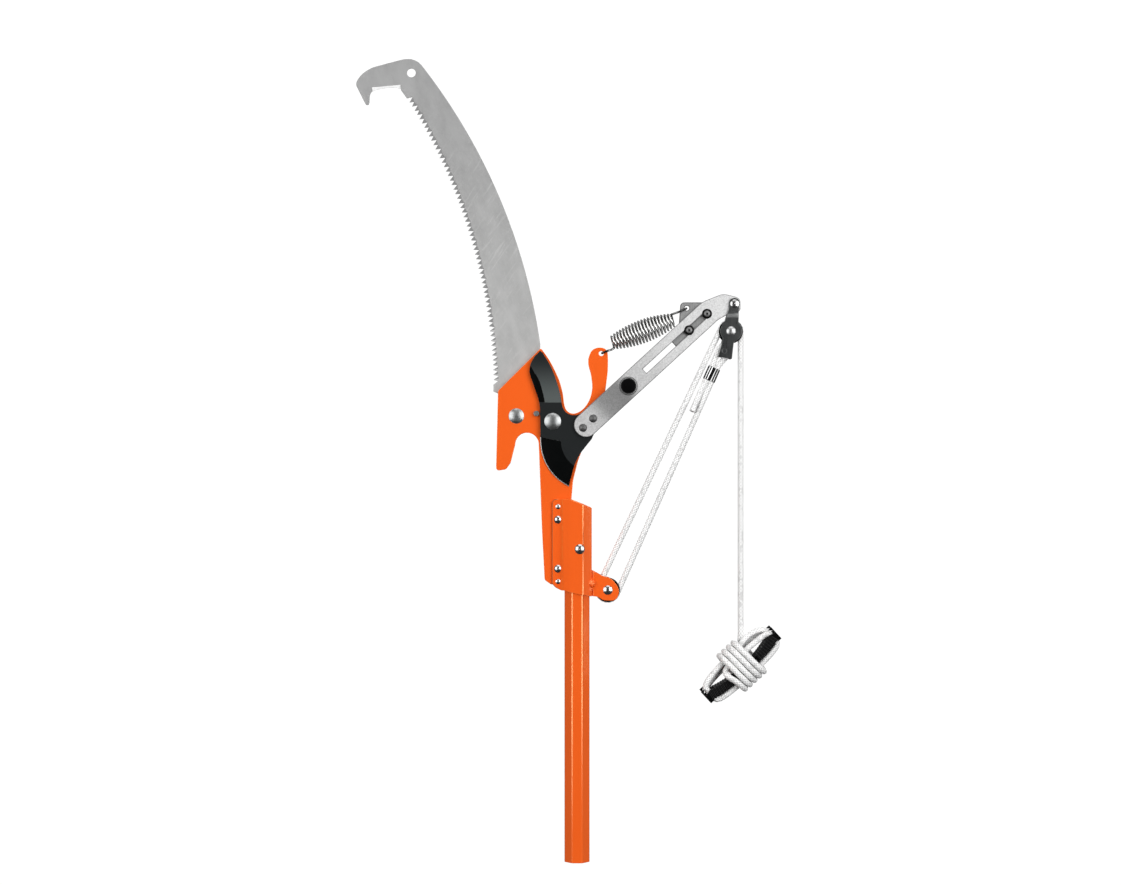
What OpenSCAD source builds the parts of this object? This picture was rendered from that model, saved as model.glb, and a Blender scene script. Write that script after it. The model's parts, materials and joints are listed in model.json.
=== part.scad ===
// Tree pruner pole head: an orange hook plate and socket on an octagonal pole, a rope-pulled
// cutter on a sprung lever, and a curved saw. Millimetres, +Z up along the pole, the front
// faces -Y, and the origin is the centre of the pole's open lower end.

/* [Pole and socket] */
// Pole width across its flats
pole_flat = 25; // [23:0.5:28]
// Pole wall
pole_wall = 1.2; // [1:0.1:2]
// Pole length up to its top inside the socket
pole_len = 352; // [330:1:420]
// Socket sheet thickness
socket_sheet = 2; // [1.5:0.1:3]
// Room between the pole and the socket all round
socket_room = 0.2; // [0.1:0.05:0.4]
// Flange reach from the pole's axis
flange_reach = 25; // [23:0.5:28]

/* [Plates] */
// Hook plate thickness
plate_t = 4; // [3:0.5:6]
// Saw blade thickness
saw_t = 1.5; // [1.2:0.1:2]
// Cutter thickness
cutter_t = 4; // [3:0.5:5]
// Lever arm thickness
arm_t = 3; // [2.5:0.5:5]
// Lever arm width
arm_w = 24; // [20:0.5:28]
// Lever arm length from its foot to the block pin
arm_len = 190.7; // [185:0.1:215]
// Spring anchor sheet thickness
anchor_t = 2; // [1.5:0.1:3]
// Block strap thickness
strap_t = 2; // [1.5:0.1:3]
// Pulley bracket sheet thickness
cheek_t = 1.5; // [1.2:0.1:2.5]

/* [Saw] */
// Saw length from its bolt to its hanging hole
saw_len = 359.5; // [340:0.5:400]
// Number of saw teeth
tooth_count = 62; // [40:1:80]
// Depth of the deeper gullets between the saw teeth
tooth_depth = 5.6; // [3:0.1:6]
// Bow of the saw's back and of its toothed edge
saw_bow = 20; // [14:1:24]
// Hanging hole radius near the saw's tip
hang_r = 4.4; // [3:0.1:5.5]

/* [Cutter] */
// Radius of the cutting edge
edge_r = 51.5; // [50:0.5:53]
// Inner radius of the ground bevel
bevel_r = 30; // [26:1:40]
// Steel left at the cutting edge
edge_t = 0.6; // [0.4:0.1:1.2]
// Radius of the hook's throat
hook_r = 11.7; // [10:0.1:12.5]

/* [Fasteners] */
// Pivot bolt shank radius
pivot_r = 5; // [4:0.25:6]
// Saw bolt shank radius
saw_bolt_r = 4; // [3:0.25:5]
// Stop pin radius
stop_r = 2.7; // [2:0.1:2.8]
// Flange bolt shank radius
flange_bolt_r = 2.4; // [2:0.1:2.8]
// Pole bolt shank radius
pole_bolt_r = 3; // [2.5:0.1:3.5]
// Pulley axle radius
axle_r = 3; // [2.5:0.1:3.5]
// Lever rivet shank radius
rivet_r = 2.6; // [2:0.1:3]
// Slot bolt shank radius
slot_bolt_r = 2.6; // [2.2:0.1:2.8]
// Radius of the round plug in the arm
plug_r = 7.3; // [6.5:0.1:8]

/* [Rope and pulleys] */
// Rope diameter
rope_d = 5.8; // [5:0.1:6.4]
// Radius of the rope's centreline on a sheave
sheave_pitch_r = 10; // [9:0.25:11]
// Sheave rim above the rope's centreline
sheave_rim = 2; // [1.5:0.25:2.5]

/* [Spring] */
// Spring wire diameter
wire_d = 2.2; // [1.6:0.1:2.4]
// Spring turns
spring_turns = 19.5; // [14.5:1:20.5]
// Mean coil radius at the ends
spring_end_r = 5.6; // [5:0.1:6.5]
// Mean coil radius in the middle
spring_mid_r = 11; // [9:0.25:12]

/* [Rope handle] */
// Handle length between the tips of its ends
handle_len = 95; // [90:1:104]
// Handle bar height at its ends
handle_h = 11; // [10:0.5:12]
// Handle bar height at its waist, under the binding
waist_h = 6; // [5:0.25:6.5]
// Handle depth, front to back
handle_d = 23; // [22:0.5:24]
// Sag of the curved handle bar at its middle
handle_sag = 6.5; // [5:0.25:6.75]
// Ribs on each half of the handle bar
handle_ribs = 9; // [6:1:10]

/* [Hidden] */
$fn = 64;

// Running gap between flat faces that slide, and between a head and what turns under it
run_gap = 0.3;
// Radial clearance of a shank that something turns on
turn_fit = 0.05;
// Radial clearance of a clamped bolt
bolt_fit = 0.2;
// Overshoot of a cut past the face that it opens
cut = 1;

// The outlines stand at the height that they have on the standard pole
pole_std = 352;
head_lift = pole_len - pole_std;

// Y of the plates, from the hook plate outwards
plate_y = -plate_t / 2;
saw_y = plate_t / 2;
cutter_y = plate_y - run_gap - cutter_t;
arm_y = cutter_y - arm_t;
anchor_y = cutter_y;
block_y = arm_y + arm_t / 2;

// Pulleys: the straps and cheeks leave side_room beside a sheave
sheave_w = rope_d + 2.2;
sheave_r = sheave_pitch_r + sheave_rim;
side_room = 0.5;
groove_room = 0.7;
cheek_in = sheave_w / 2 + side_room;
groove_r = rope_d / 2 + groove_room;

// Octagon sizes
socket_in = pole_flat + 2 * socket_room;
socket_out = socket_in + 2 * socket_sheet;
flange_out = plate_t / 2 + socket_sheet;

// Dome and rivet heads: radius and height
pivot_head = [8.5, 4];
saw_bolt_head = [7.8, 3.6];
stop_head_h = 3.2;
flange_head = [4, 2.6];
flange_rivet_head = [2.6, 1.4];
pole_head = [5, 3];
axle_head = [4.8, 2.4];
lever_rivet_head = [4.2, 1.6];
slot_bolt_head = [5.1, 2.6];
block_pin_head = [4.4, 1.6];
nut_h = 4;
nut_spread = 1.8;
rivet_shank = 1.5;

// Points in the front view, [x, z]
pivot = [-24.3, 439.6];
saw_bolt_at = [-60.6, 445];
stop_at = [-40.7, 447.4];
horn_hole = [24.3, 507.5];
flange_x = -socket_out / 2 - flange_head[0] - bolt_fit;
flange_bolts = [[flange_x, 341.4], [flange_x, 292.4]];
flange_rivets = [[flange_x, 354.4], [flange_x, 279.6]];
pole_bolt_at = [2.6, 312.5];
lower_axle_at = [30.75, 271.15];
hook_at = [-50, 416.5];
edge_centre = [14.7, 420.5];
// Past its grip on the plate the saw stretches along its own axis to saw_len
saw_std = 359.5;
saw_grip = 80;
saw_dir = unit([-105.3, 343.7]);
hang_at = on_saw([-165.9, 788.7]);

// Lever arm: a straight bar from its round foot, at arm_angle, whose tip bends down to the block pin
arm_angle = 42.6;
arm_foot = [9, 436];
arm_dir = [cos(arm_angle), sin(arm_angle)];
arm_side = [-sin(arm_angle), cos(arm_angle)];
lever_rivet_at = [along_arm(-4.2), along_arm(9.5)];
plug_at = along_arm(57.3);
slot_bolt_at = [along_arm(139.4), along_arm(163.6)];
slot_from = along_arm(79.2);
// The block and all that hangs on it move along the arm with arm_len
arm_std = 190.7;
block_shift = (arm_len - arm_std) * arm_dir;
block_pin_at = [156.8, 556.5] + block_shift;
anchor_hole = [109.6, 552.5];
anchor_hole_r = 2.4;
horn_hole_r = 2.5;

// Pulley block
upper_axle_at = [153, 529.1] + block_shift;
becket_at = [146.4, 509.5] + block_shift;
block_pin_r = 3;
becket_r = 2.2;

// Rope geometry in the front view
rope_r = rope_d / 2;
fall_x = upper_axle_at.x + sheave_pitch_r;
pulley_line = upper_axle_at - lower_axle_at;
return_angle = atan2(pulley_line.y, pulley_line.x);
ferrule_at = [134, 486.5] + block_shift;
ferrule_len = 14;
ferrule_gap = rope_r + 0.1;
ferrule_r = rope_r + 0.4;
fall_end = 236 + block_shift.y;
dead_end_len = 35;
// Gap between the end of one length of the rope and what it runs into
join_gap = 0.45;

// Handle frame: u along the handle, v up across it, centred on the chord between its ends
handle_at = [162.6, 197.7] + block_shift;
handle_angle = 42.7;
prong_t = 1.9;
slot_w = handle_d - 2 * prong_t;
slot_depth = 10;
end_h = 15;
end_t = 4.5;

function unit(v) = v / norm(v);
function along_arm(u, v = 0) = arm_foot + u * arm_dir + v * arm_side;
function xy(p) = [p.x, p.y];
function to3(p, y) = [p.x, y, p.y];
function on_saw(p) =
    p + saw_dir * max(0, (p - saw_bolt_at) * saw_dir - saw_grip) * (saw_len - saw_std) / (saw_std - saw_grip);
function turn2(a, b) = a.x * b.y - a.y * b.x;
function polar(centre, r, a) = centre + r * [cos(a), sin(a)];

// A corner b between a and c as an arc of radius r, limited by its two sides
function corner_arc(a, b, c, r) =
    let (p = unit(a - b), q = unit(c - b),
         half = acos(max(-1, min(1, p * q))) / 2,
         t = min(r / tan(half), 0.49 * min(norm(a - b), norm(c - b))),
         arc_r = t * tan(half),
         centre = b + unit(p + q) * arc_r / sin(half),
         start = b + p * t - centre,
         sweep = sign(turn2(b - a, c - b)) * (180 - 2 * half),
         steps = max(1, ceil(abs(sweep) / 14)))
    [for (k = [0:steps]) polar(centre, arc_r, atan2(start.y, start.x) + sweep * k / steps)];

// An outline from corners [x, z, radius]
function rounded(corners) =
    let (n = len(corners))
    [for (i = [0:n - 1])
        let (a = xy(corners[(i + n - 1) % n]), b = xy(corners[i]), c = xy(corners[(i + 1) % n]))
        each corners[i].z > 0 ? corner_arc(a, b, c, corners[i].z) : [b]];

// Points from a to b on an arc that bows to the left of that direction by bow
function bowed(a, b, bow, steps) =
    let (half_chord = norm(b - a) / 2,
         r = (half_chord * half_chord + bow * bow) / (2 * bow),
         dir = unit(b - a), left = [-dir.y, dir.x],
         centre = (a + b) / 2 + left * (bow - r),
         half = asin(half_chord / r))
    [for (k = [0:steps])
        let (w = half * (2 * k / steps - 1))
        centre + r * (left * cos(w) + dir * sin(w))];

// A smooth curve through points, with steps from each one to the next
function curve(points, steps) =
    let (n = len(points))
    [for (i = [0:n - 2])
        let (a = points[max(i - 1, 0)], b = points[i], c = points[i + 1], d = points[min(i + 2, n - 1)])
        each [for (k = [0:steps - 1]) let (s = k / steps)
            b + (c - a) * s / 2 + (2 * a - 5 * b + 4 * c - d) * s * s / 2
              + (3 * b - a - 3 * c + d) * s * s * s / 2],
     points[n - 1]];

// Points of a curve as corners that stay as they are
function as_corners(points) = [for (p = points) [p.x, p.y, 0]];

// A flat piece with a front-view outline, from y to y + t
module plate(outline, y, t) {
    translate([0, y + t, head_lift]) rotate([90, 0, 0]) linear_extrude(t) polygon(outline);
}

// A round bar along Y at a front-view point
module rod(at, r, y, t) {
    translate([at.x, y + t, at.y + head_lift]) rotate([90, 0, 0]) cylinder(r = r, h = t);
}

// A hole through everything from y to y + t
module bore(at, r, y, t) {
    rod(at, r, y - cut, t + 2 * cut);
}

// A domed head whose flat side lies at y and which stands out towards -Y
module dome(at, head, y) {
    r = head[0];
    h = head[1];
    ball = (r * r + h * h) / (2 * h);
    translate([at.x, y, at.y + head_lift]) rotate([90, 0, 0])
        intersection() {
            translate([0, 0, h - ball]) sphere(r = ball);
            cylinder(r = r + cut, h = h + cut);
        }
}

// A hexagon nut whose near side lies at y, with its bore
module nut(at, r, y) {
    difference() {
        translate([at.x, y + nut_h, at.y + head_lift]) rotate([90, 0, 0]) rotate(30)
            cylinder(r = nut_spread * r, h = nut_h, $fn = 6);
        bore(at, r, y, nut_h);
    }
}

// A domed bolt from its head at y back to the far side of its nut
module dome_bolt(at, r, head, y, grip) {
    dome(at, head, y);
    rod(at, r, y, grip + nut_h);
}

module octagon(flat) {
    rotate(22.5) circle(d = flat / cos(22.5), $fn = 8);
}

// An octagon with a radius for each corner, counted from the right towards the back
module bent_octagon(flat, radii) {
    polygon(rounded([for (k = [0:7])
        let (p = polar([0, 0], flat / 2 / cos(22.5), 22.5 + 45 * k)) [p.x, p.y, radii[k]]]));
}

// A tube of one diameter swept along 3-D points, with rings carried along without twist
function tangents(path) =
    let (n = len(path))
    [for (i = [0:n - 1]) unit(path[min(i + 1, n - 1)] - path[max(i - 1, 0)])];
function square_to(v, t) = unit(v - (v * t) * t);
function carried(t, i = 0, list = []) =
    i == len(t) ? list
    : carried(t, i + 1, concat(list, [square_to(i == 0 ? [0.31, 0.9, 0.17] : list[i - 1], t[i])]));
module tube(path, d, sides) {
    t = tangents(path);
    side = carried(t);
    n = len(path);
    points = [for (i = [0:n - 1]) let (other = cross(t[i], side[i])) for (k = [0:sides - 1])
        path[i] + d / 2 * (side[i] * cos(360 * k / sides) + other * sin(360 * k / sides))];
    walls = [for (i = [0:n - 2]) for (k = [0:sides - 1])
        let (a = i * sides + k, b = i * sides + (k + 1) % sides)
        each [[a, a + sides, b], [b, a + sides, b + sides]]];
    first = [for (k = [1:sides - 2]) [0, k, k + 1]];
    last = [for (k = [1:sides - 2]) let (o = (n - 1) * sides) [o, o + k + 1, o + k]];
    translate([0, 0, head_lift]) polyhedron(points = points, faces = concat(walls, first, last));
}

// Least gap between the surfaces of a tube's own passes, over points that are apart along it
function self_gap(path, d, skip) =
    min([for (i = [0:len(path) - 1]) for (j = [i + skip:1:len(path) - 1]) norm(path[i] - path[j])]) - d;

// A point on a smooth joining curve from p (leaving along u) to q (arriving along v)
function joined(p, u, q, v, steps) =
    [for (k = [1:steps - 1])
        let (s = k / steps, w = 1 - s)
        w * w * w * p + 3 * w * w * s * (p + u) + 3 * w * s * s * (q - v) + s * s * s * q];

// Pole and socket

// Bend radii: the pole's corners, and the socket's at its free side and beside its flanges
pole_corner = 2.2;
free_bend = 3;
flange_bend = 10;

module pole() {
    color("orangered") difference() {
        linear_extrude(pole_len)
            difference() {
                bent_octagon(pole_flat, [for (k = [0:7]) pole_corner]);
                octagon(pole_flat - 2 * pole_wall);
            }
        bore(pole_bolt_at, pole_bolt_r + bolt_fit, -pole_flat, 2 * pole_flat);
    }
}

// The socket's sheared outline: level then sloping at the top, sloping at the foot
socket_half = socket_out / 2;
socket_outline = rounded([
    [-flange_reach, 362, 4.5], [-7, 362, 8], [socket_half + cut, 353, 0],
    [socket_half + cut, 264.6, 0], [-13, 271, 8], [-21, 273, 6], [-flange_reach, 277.5, 2]]);

module socket_sheet_form() {
    linear_extrude(pole_len + 50)
        difference() {
            union() {
                bent_octagon(socket_out, [0, free_bend, flange_bend, 0, 0, flange_bend, free_bend, 0]);
                translate([-flange_reach, -flange_out])
                    square([flange_reach - pole_flat / 4, 2 * flange_out]);
            }
            octagon(socket_in);
            translate([-flange_reach - cut, -plate_t / 2]) square([flange_reach, plate_t]);
        }
}

module pole_socket() {
    color("orangered") difference() {
        intersection() {
            socket_sheet_form();
            plate(socket_outline, -socket_out, 2 * socket_out);
        }
        for (at = flange_bolts) bore(at, flange_bolt_r + bolt_fit, -flange_out, 2 * flange_out);
        for (at = flange_rivets) bore(at, rivet_shank, -flange_out, 2 * flange_out);
        bore(pole_bolt_at, pole_bolt_r + bolt_fit, -socket_out, 2 * socket_out);
    }
}

module socket_bolts() {
    color("silver") for (at = flange_bolts)
        dome_bolt(at, flange_bolt_r, flange_head, -flange_out, 2 * flange_out);
}

module socket_nuts() {
    color("silver") for (at = flange_bolts) nut(at, flange_bolt_r, flange_out);
}

module socket_rivets() {
    color("silver") for (at = flange_rivets) {
        dome(at, flange_rivet_head, -flange_out);
        rod(at, rivet_shank, -flange_out, 2 * flange_out);
        mirror([0, 1, 0]) dome(at, flange_rivet_head, -flange_out);
    }
}

module pole_bolt() {
    color("silver") dome_bolt(pole_bolt_at, pole_bolt_r, pole_head, -socket_half, 2 * socket_half);
}

module pole_nut() {
    color("silver") nut(pole_bolt_at, pole_bolt_r, socket_half);
}

// Lower pulley: a folded bracket on the socket's side, its weld, axle and sheave

bracket_x = socket_half;
cheek_outline = rounded([
    [bracket_x, 291, 0], [24, 286, 14], [35, 282.5, 12], [42.5, 272, 10], [40, 260.6, 7], [26, 261, 10],
    [21, 264.6, 6], [bracket_x, 265.2, 0]]);

// Between its web and the cheeks the bracket is relieved above and below the weld
weld_r = 3.6;
weld_z = 277.8;
relief_w = 1.4;
relief_z = 5.7;
relief_h = 20;

module pulley_bracket() {
    inside = bracket_x + cheek_t;
    half_w = cheek_in + cheek_t;
    color("orangered") difference() {
        plate(cheek_outline, -half_w, 2 * half_w);
        translate([inside, -cheek_in, 0]) cube([100, 2 * cheek_in, pole_len + 50]);
        bore(lower_axle_at, axle_r + bolt_fit, -half_w, 2 * half_w);
        for (y = [-half_w - cut, cheek_in], z = [weld_z + relief_z, weld_z - relief_z - relief_h])
            translate([bracket_x - cut, y, z + head_lift]) cube([relief_w + cut, cheek_t + cut, relief_h]);
    }
}

module bracket_weld() {
    color("orangered") for (side = [-1, 1])
        difference() {
            translate([bracket_x, side * (cheek_in + cheek_t), weld_z + head_lift]) sphere(r = weld_r);
            linear_extrude(pole_len) octagon(socket_out);
            translate([bracket_x, -cheek_in - cheek_t, 0]) cube([50, 2 * (cheek_in + cheek_t), pole_len]);
        }
}

// A headed axle with a riveted far end
module axle(at, centre_y, half_w) {
    color("dimgray") {
        dome(at, axle_head, centre_y - half_w);
        rod(at, axle_r, centre_y - half_w, 2 * half_w);
        translate([0, 2 * centre_y, 0]) mirror([0, 1, 0]) dome(at, axle_head, centre_y - half_w);
    }
}

module sheave(at, centre_y) {
    color("gainsboro") difference() {
        rod(at, sheave_r, centre_y - sheave_w / 2, sheave_w);
        bore(at, axle_r + turn_fit, centre_y - sheave_w / 2, sheave_w);
        translate([at.x, centre_y, at.y + head_lift]) rotate([90, 0, 0])
            rotate_extrude() translate([sheave_pitch_r, 0]) circle(r = groove_r);
    }
}

module lower_axle() {
    axle(lower_axle_at, 0, cheek_in + cheek_t);
}

module lower_sheave() {
    sheave(lower_axle_at, 0);
}

// Hook plate

plate_tail_x = -socket_in / 2;
// From the peak down beside the cutter's tail, through the throat and round the horn
horn_line = [
    [-34.8, 511.3], [-29.7, 504.2], [-25.6, 497.5], [-21.5, 489.4], [-17.9, 481.2], [-15.4, 473],
    [-13.8, 465.4], [-12.7, 456.7], [-10.5, 451], [-6.7, 448], [-2.1, 447.6], [3, 449.6], [8.1, 454.2],
    [12.2, 460.8], [14.6, 468.5], [15.2, 476], [13.7, 487.3], [11.6, 495], [11.3, 502], [13.7, 508.8],
    [17, 512], [21.4, 513.4], [26.2, 513], [29.4, 510.9], [30.8, 507], [31, 494], [30.3, 485],
    [28.3, 470]];
plate_outline = rounded(concat([[-36.5, 512.5, 3]], as_corners(curve(horn_line, 3)), [
    [17, 434, 60], [2.6, 406, 50], [-3.8, 381, 30], [-6.2, 354.3, 1],
    [plate_tail_x, 354.3, 1], [plate_tail_x, 276.4, 1], [-26, 276.6, 3], [-32.4, 281, 4], [-35, 330, 60],
    [-36.8, 381, 80], [-38.3, hook_at.y, 0], [-61.7, hook_at.y, 0], [-66.4, 398, 5], [-71, 391.6, 4],
    [-81, 390, 3], [-80.8, 400, 0], [-79, 470, 2]]));

module head_plate() {
    color("orangered") difference() {
        plate(plate_outline, plate_y, plate_t);
        bore(hook_at, hook_r, plate_y, plate_t);
        bore(pivot, pivot_r + bolt_fit, plate_y, plate_t);
        bore(saw_bolt_at, saw_bolt_r + bolt_fit, plate_y, plate_t);
        bore(stop_at, stop_r, plate_y, plate_t);
        bore(horn_hole, horn_hole_r, plate_y, plate_t);
        for (at = flange_bolts) bore(at, flange_bolt_r + bolt_fit, plate_y, plate_t);
        for (at = flange_rivets) bore(at, rivet_shank, plate_y, plate_t);
    }
}

// Saw: a bowed back, a toothed edge, and a hooked tip

saw_root = [-36.7, 516.8];
saw_tip = on_saw([-155.6, 796.4]);
// The hook from the back of the tip round its beak, and on inside it to the first tooth
beak_line = [
    [-158.8, 799.5], [-162.8, 801.5], [-167, 802.5], [-172, 802.4], [-177, 801.5], [-201.2, 795.1],
    [-207.6, 792.6], [-213, 789.2], [-217.6, 784.8], [-220.6, 780], [-221, 776.2], [-219.3, 772.3],
    [-212.5, 758.7], [-211.2, 756.9], [-209.5, 756.6], [-208.1, 758.2], [-207.7, 762]];
mouth_line = [
    [-207.3, 766.5], [-205.7, 769.6], [-201.8, 771.6], [-193.5, 773.4], [-185, 774.1], [-180, 773.6],
    [-176.2, 771.2]];
// Inside the hook the front is ground away, this far in, this deep and this far past its ends
grind_w = 2.8;
grind_depth = 1.1;
grind_over = 3.5;
tooth_top = on_saw([-170.4, 763.2]);
tooth_foot = [-83.7, 476.5];
heel_foot = [-83.7, 469.4];
saw_tang = [[-75, 466], [-75, 433], [-36, 433], [-36, 500]];
tang_round = 6;

// Points of the teeth lie on the bowed edge; every other gullet is shallower, and each tooth leans
// towards the pole
gullet_at = 0.38;
shallow = 0.8;
function teeth() =
    let (line = bowed(tooth_top, tooth_foot, saw_bow, tooth_count))
    [for (i = [0:tooth_count - 1])
        let (a = line[i], b = line[i + 1], dir = unit(b - a),
             depth = tooth_depth * (i % 2 == 0 ? 1 : shallow))
        each [a, a + gullet_at * (b - a) + depth * [-dir.y, dir.x]]];

saw_outline = concat(
    bowed(saw_root, saw_tip, -saw_bow, 24),
    [for (p = curve(concat(beak_line, mouth_line), 3)) on_saw(p)],
    teeth(),
    [tooth_foot, heel_foot, saw_tang[0]],
    corner_arc(saw_tang[0], saw_tang[1], saw_tang[2], tang_round),
    corner_arc(saw_tang[1], saw_tang[2], saw_tang[3], tang_round));

module hook_grind() {
    from = on_saw(mouth_line[2]);
    run = on_saw(mouth_line[5]) - from;
    translate([from.x, saw_y, from.y + head_lift]) rotate([0, -atan2(run.y, run.x), 0])
        translate([-grind_over, 0, 0]) rotate([90, 0, 90]) linear_extrude(norm(run) + 2 * grind_over)
            polygon([[-cut, grind_w], [0, grind_w], [2 * grind_depth, -grind_w], [-cut, -grind_w]]);
}

module saw_blade() {
    color("silver") difference() {
        plate(saw_outline, saw_y, saw_t);
        hook_grind();
        bore(hang_at, hang_r, saw_y, saw_t);
        bore(saw_bolt_at, saw_bolt_r + bolt_fit, saw_y, saw_t);
        bore(stop_at, stop_r, saw_y, saw_t);
    }
}

module saw_bolt() {
    color("silver") dome_bolt(saw_bolt_at, saw_bolt_r, saw_bolt_head, plate_y, plate_t + saw_t);
}

module saw_nut() {
    color("silver") nut(saw_bolt_at, saw_bolt_r, saw_y + saw_t);
}

module stop_pin() {
    color("silver") rod(stop_at, stop_r, plate_y - stop_head_h, stop_head_h + plate_t + saw_t);
}

// Pivot: the bolt is clamped to the plate and the cutter turns on its shank

module pivot_bolt() {
    grip = cutter_t + 2 * run_gap + plate_t;
    color("silver") dome_bolt(pivot, pivot_r, pivot_head, cutter_y - run_gap, grip);
}

module pivot_nut() {
    color("silver") nut(pivot, pivot_r, plate_t / 2);
}

// Cutter: a curved edge with a ground bevel, a heel beside the stop pin, and a tail

heel_line = [
    [-38.8, 507.7], [-41.9, 504.7], [-44.4, 501.1], [-46.1, 497.5], [-47.1, 494], [-47.4, 490.4],
    [-46.9, 486.3], [-43.5, 476.1], [-39.2, 463.9], [-37.9, 458.8], [-37.2, 453.7], [-36.8, 444.5],
    [-36.6, 431]];
back_line = [[-6.7, 381.2], [-4.7, 388.3], [-2.1, 397], [1, 403.7], [5, 409.8], [14.6, 421.8]];
throat_line = [
    [-0.1, 445.9], [-5.2, 445.9], [-10.3, 448], [-13.3, 451.6], [-14.9, 455.7], [-16.2, 464],
    [-18.4, 473], [-21, 481.2], [-24, 489.4], [-27.6, 497], [-34.2, 507.7]];
cutter_outline = rounded(concat(
    [[-36.8, 510.2, 1]], as_corners(curve(heel_line, 3)),
    [for (a = [178:6:238]) let (p = polar(edge_centre, edge_r, a)) [p.x, p.y, 0]],
    [[-8.1, 374.3, 0.5]], as_corners(curve(back_line, 3)), [[18.4, 430.4, 4], [4, 447.5, 4]],
    as_corners(curve(throat_line, 3))));

// The tail's left band is ground back a little behind its panel
band_line = [[-46.5, 495.5], [-43.9, 490.4], [-40.4, 485.3], [-37.3, 479.2], [-35.3, 473],
             [-33.7, 466.9], [-32.1, 458.4]];
tail_band = concat([[-52, 500]], curve(band_line, 2), [[-42, 458.4], [-52, 480]]);
tail_step = 0.8;
bevel_limit = [[-60, 424.6], [-36.8, 424], [-16.4, 420], [30, 420], [30, 360], [-60, 360]];

module ground_bevel() {
    intersection() {
        translate([edge_centre.x, 0, edge_centre.y + head_lift]) rotate([90, 0, 0])
            rotate_extrude()
                polygon([[bevel_r, -cutter_y], [edge_r + cut, -cutter_y - cutter_t + edge_t],
                         [edge_r + cut, -cutter_y + cut], [bevel_r, -cutter_y + cut]]);
        plate(bevel_limit, cutter_y - 2 * cut, cutter_t + 2 * cut);
    }
}

module cutter_blade() {
    color([0.12, 0.12, 0.13]) difference() {
        plate(cutter_outline, cutter_y, cutter_t);
        ground_bevel();
        plate(tail_band, cutter_y - cut, tail_step + cut);
        bore(pivot, pivot_r + turn_fit, cutter_y, cutter_t);
        for (at = lever_rivet_at) bore(at, rivet_r, cutter_y, cutter_t);
    }
}

// Lever arm, its rivets and plug

arm_half = arm_w / 2;
foot_round = arm_half - 0.1;
tip_r = 8;
tip_reach = 6;
tip_bend = 168 + arm_len - arm_std;
function arm_corner(u, v, r) = let (p = along_arm(u, v)) [p.x, p.y, r];
arm_outline = rounded([
    arm_corner(-arm_half, arm_half, foot_round), arm_corner(tip_bend, arm_half, 20),
    arm_corner(tip_bend + 21, 4, 14),
    [block_pin_at.x + tip_reach, block_pin_at.y + tip_reach, tip_reach],
    [block_pin_at.x + tip_reach, block_pin_at.y - tip_r, tip_reach],
    [block_pin_at.x - 2, block_pin_at.y - tip_r, tip_reach],
    arm_corner(tip_bend, -arm_half, 18), arm_corner(-arm_half, -arm_half, foot_round)]);
slot_half = slot_bolt_r + bolt_fit;
plug_hole_r = plug_r - 1.6;

// A low rim is pressed up round the plug
rim_w = 1.2;
rim_h = 0.35;

module lever_arm() {
    color("lightgray") difference() {
        union() {
            plate(arm_outline, arm_y, arm_t);
            difference() {
                rod(plug_at, plug_r + run_gap + rim_w, arm_y - rim_h, rim_h + cut);
                bore(plug_at, plug_r + run_gap, arm_y - rim_h, rim_h);
            }
        }
        for (at = lever_rivet_at) bore(at, rivet_r, arm_y, arm_t);
        bore(plug_at, plug_hole_r, arm_y, arm_t);
        bore(slot_bolt_at[1], slot_half, arm_y, arm_t);
        translate([slot_from.x, 0, slot_from.y + head_lift]) rotate([0, -arm_angle, 0])
            translate([0, arm_y - cut, -slot_half])
                cube([norm(slot_bolt_at[1] - slot_from), arm_t + 2 * cut, 2 * slot_half]);
        bore(block_pin_at, block_pin_r + turn_fit, arm_y, arm_t);
    }
}

module lever_rivets() {
    color("dimgray") for (at = lever_rivet_at) {
        dome(at, lever_rivet_head, arm_y);
        rod(at, rivet_r, arm_y, arm_t + cutter_t);
    }
}

module arm_plug() {
    ring_h = 0.8;
    clip_t = 1.2;
    color([0.05, 0.05, 0.05]) {
        dome(plug_at, [plug_r, ring_h], arm_y - ring_h);
        rod(plug_at, plug_r, arm_y - ring_h, ring_h);
        rod(plug_at, plug_hole_r, arm_y, arm_t);
        rod(plug_at, plug_hole_r + ring_h, arm_y + arm_t, clip_t);
    }
}

// Spring anchor: a strip clamped behind the arm's slot, with an ear that stands above the arm

strip_half = 8;
anchor_outline = rounded([
    arm_corner(119, -strip_half, 1), arm_corner(174, -strip_half, 3), arm_corner(174, strip_half, 3),
    [125, 558.3, 2], [103.2, 558.3, 4], [101.2, 531.4, 1], arm_corner(119, strip_half, 1)]);

module spring_anchor() {
    color("silver") difference() {
        plate(anchor_outline, anchor_y, anchor_t);
        bore(anchor_hole, anchor_hole_r, anchor_y, anchor_t);
        for (at = slot_bolt_at) bore(at, slot_bolt_r + bolt_fit, anchor_y, anchor_t);
    }
}

module anchor_bolts() {
    color("dimgray") for (at = slot_bolt_at)
        dome_bolt(at, slot_bolt_r, slot_bolt_head, arm_y, arm_t + anchor_t);
}

module anchor_nuts() {
    color("dimgray") for (at = slot_bolt_at) nut(at, slot_bolt_r, anchor_y + anchor_t);
}

// Return spring: a barrel of turns with a hook through the horn and one through the anchor

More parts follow.
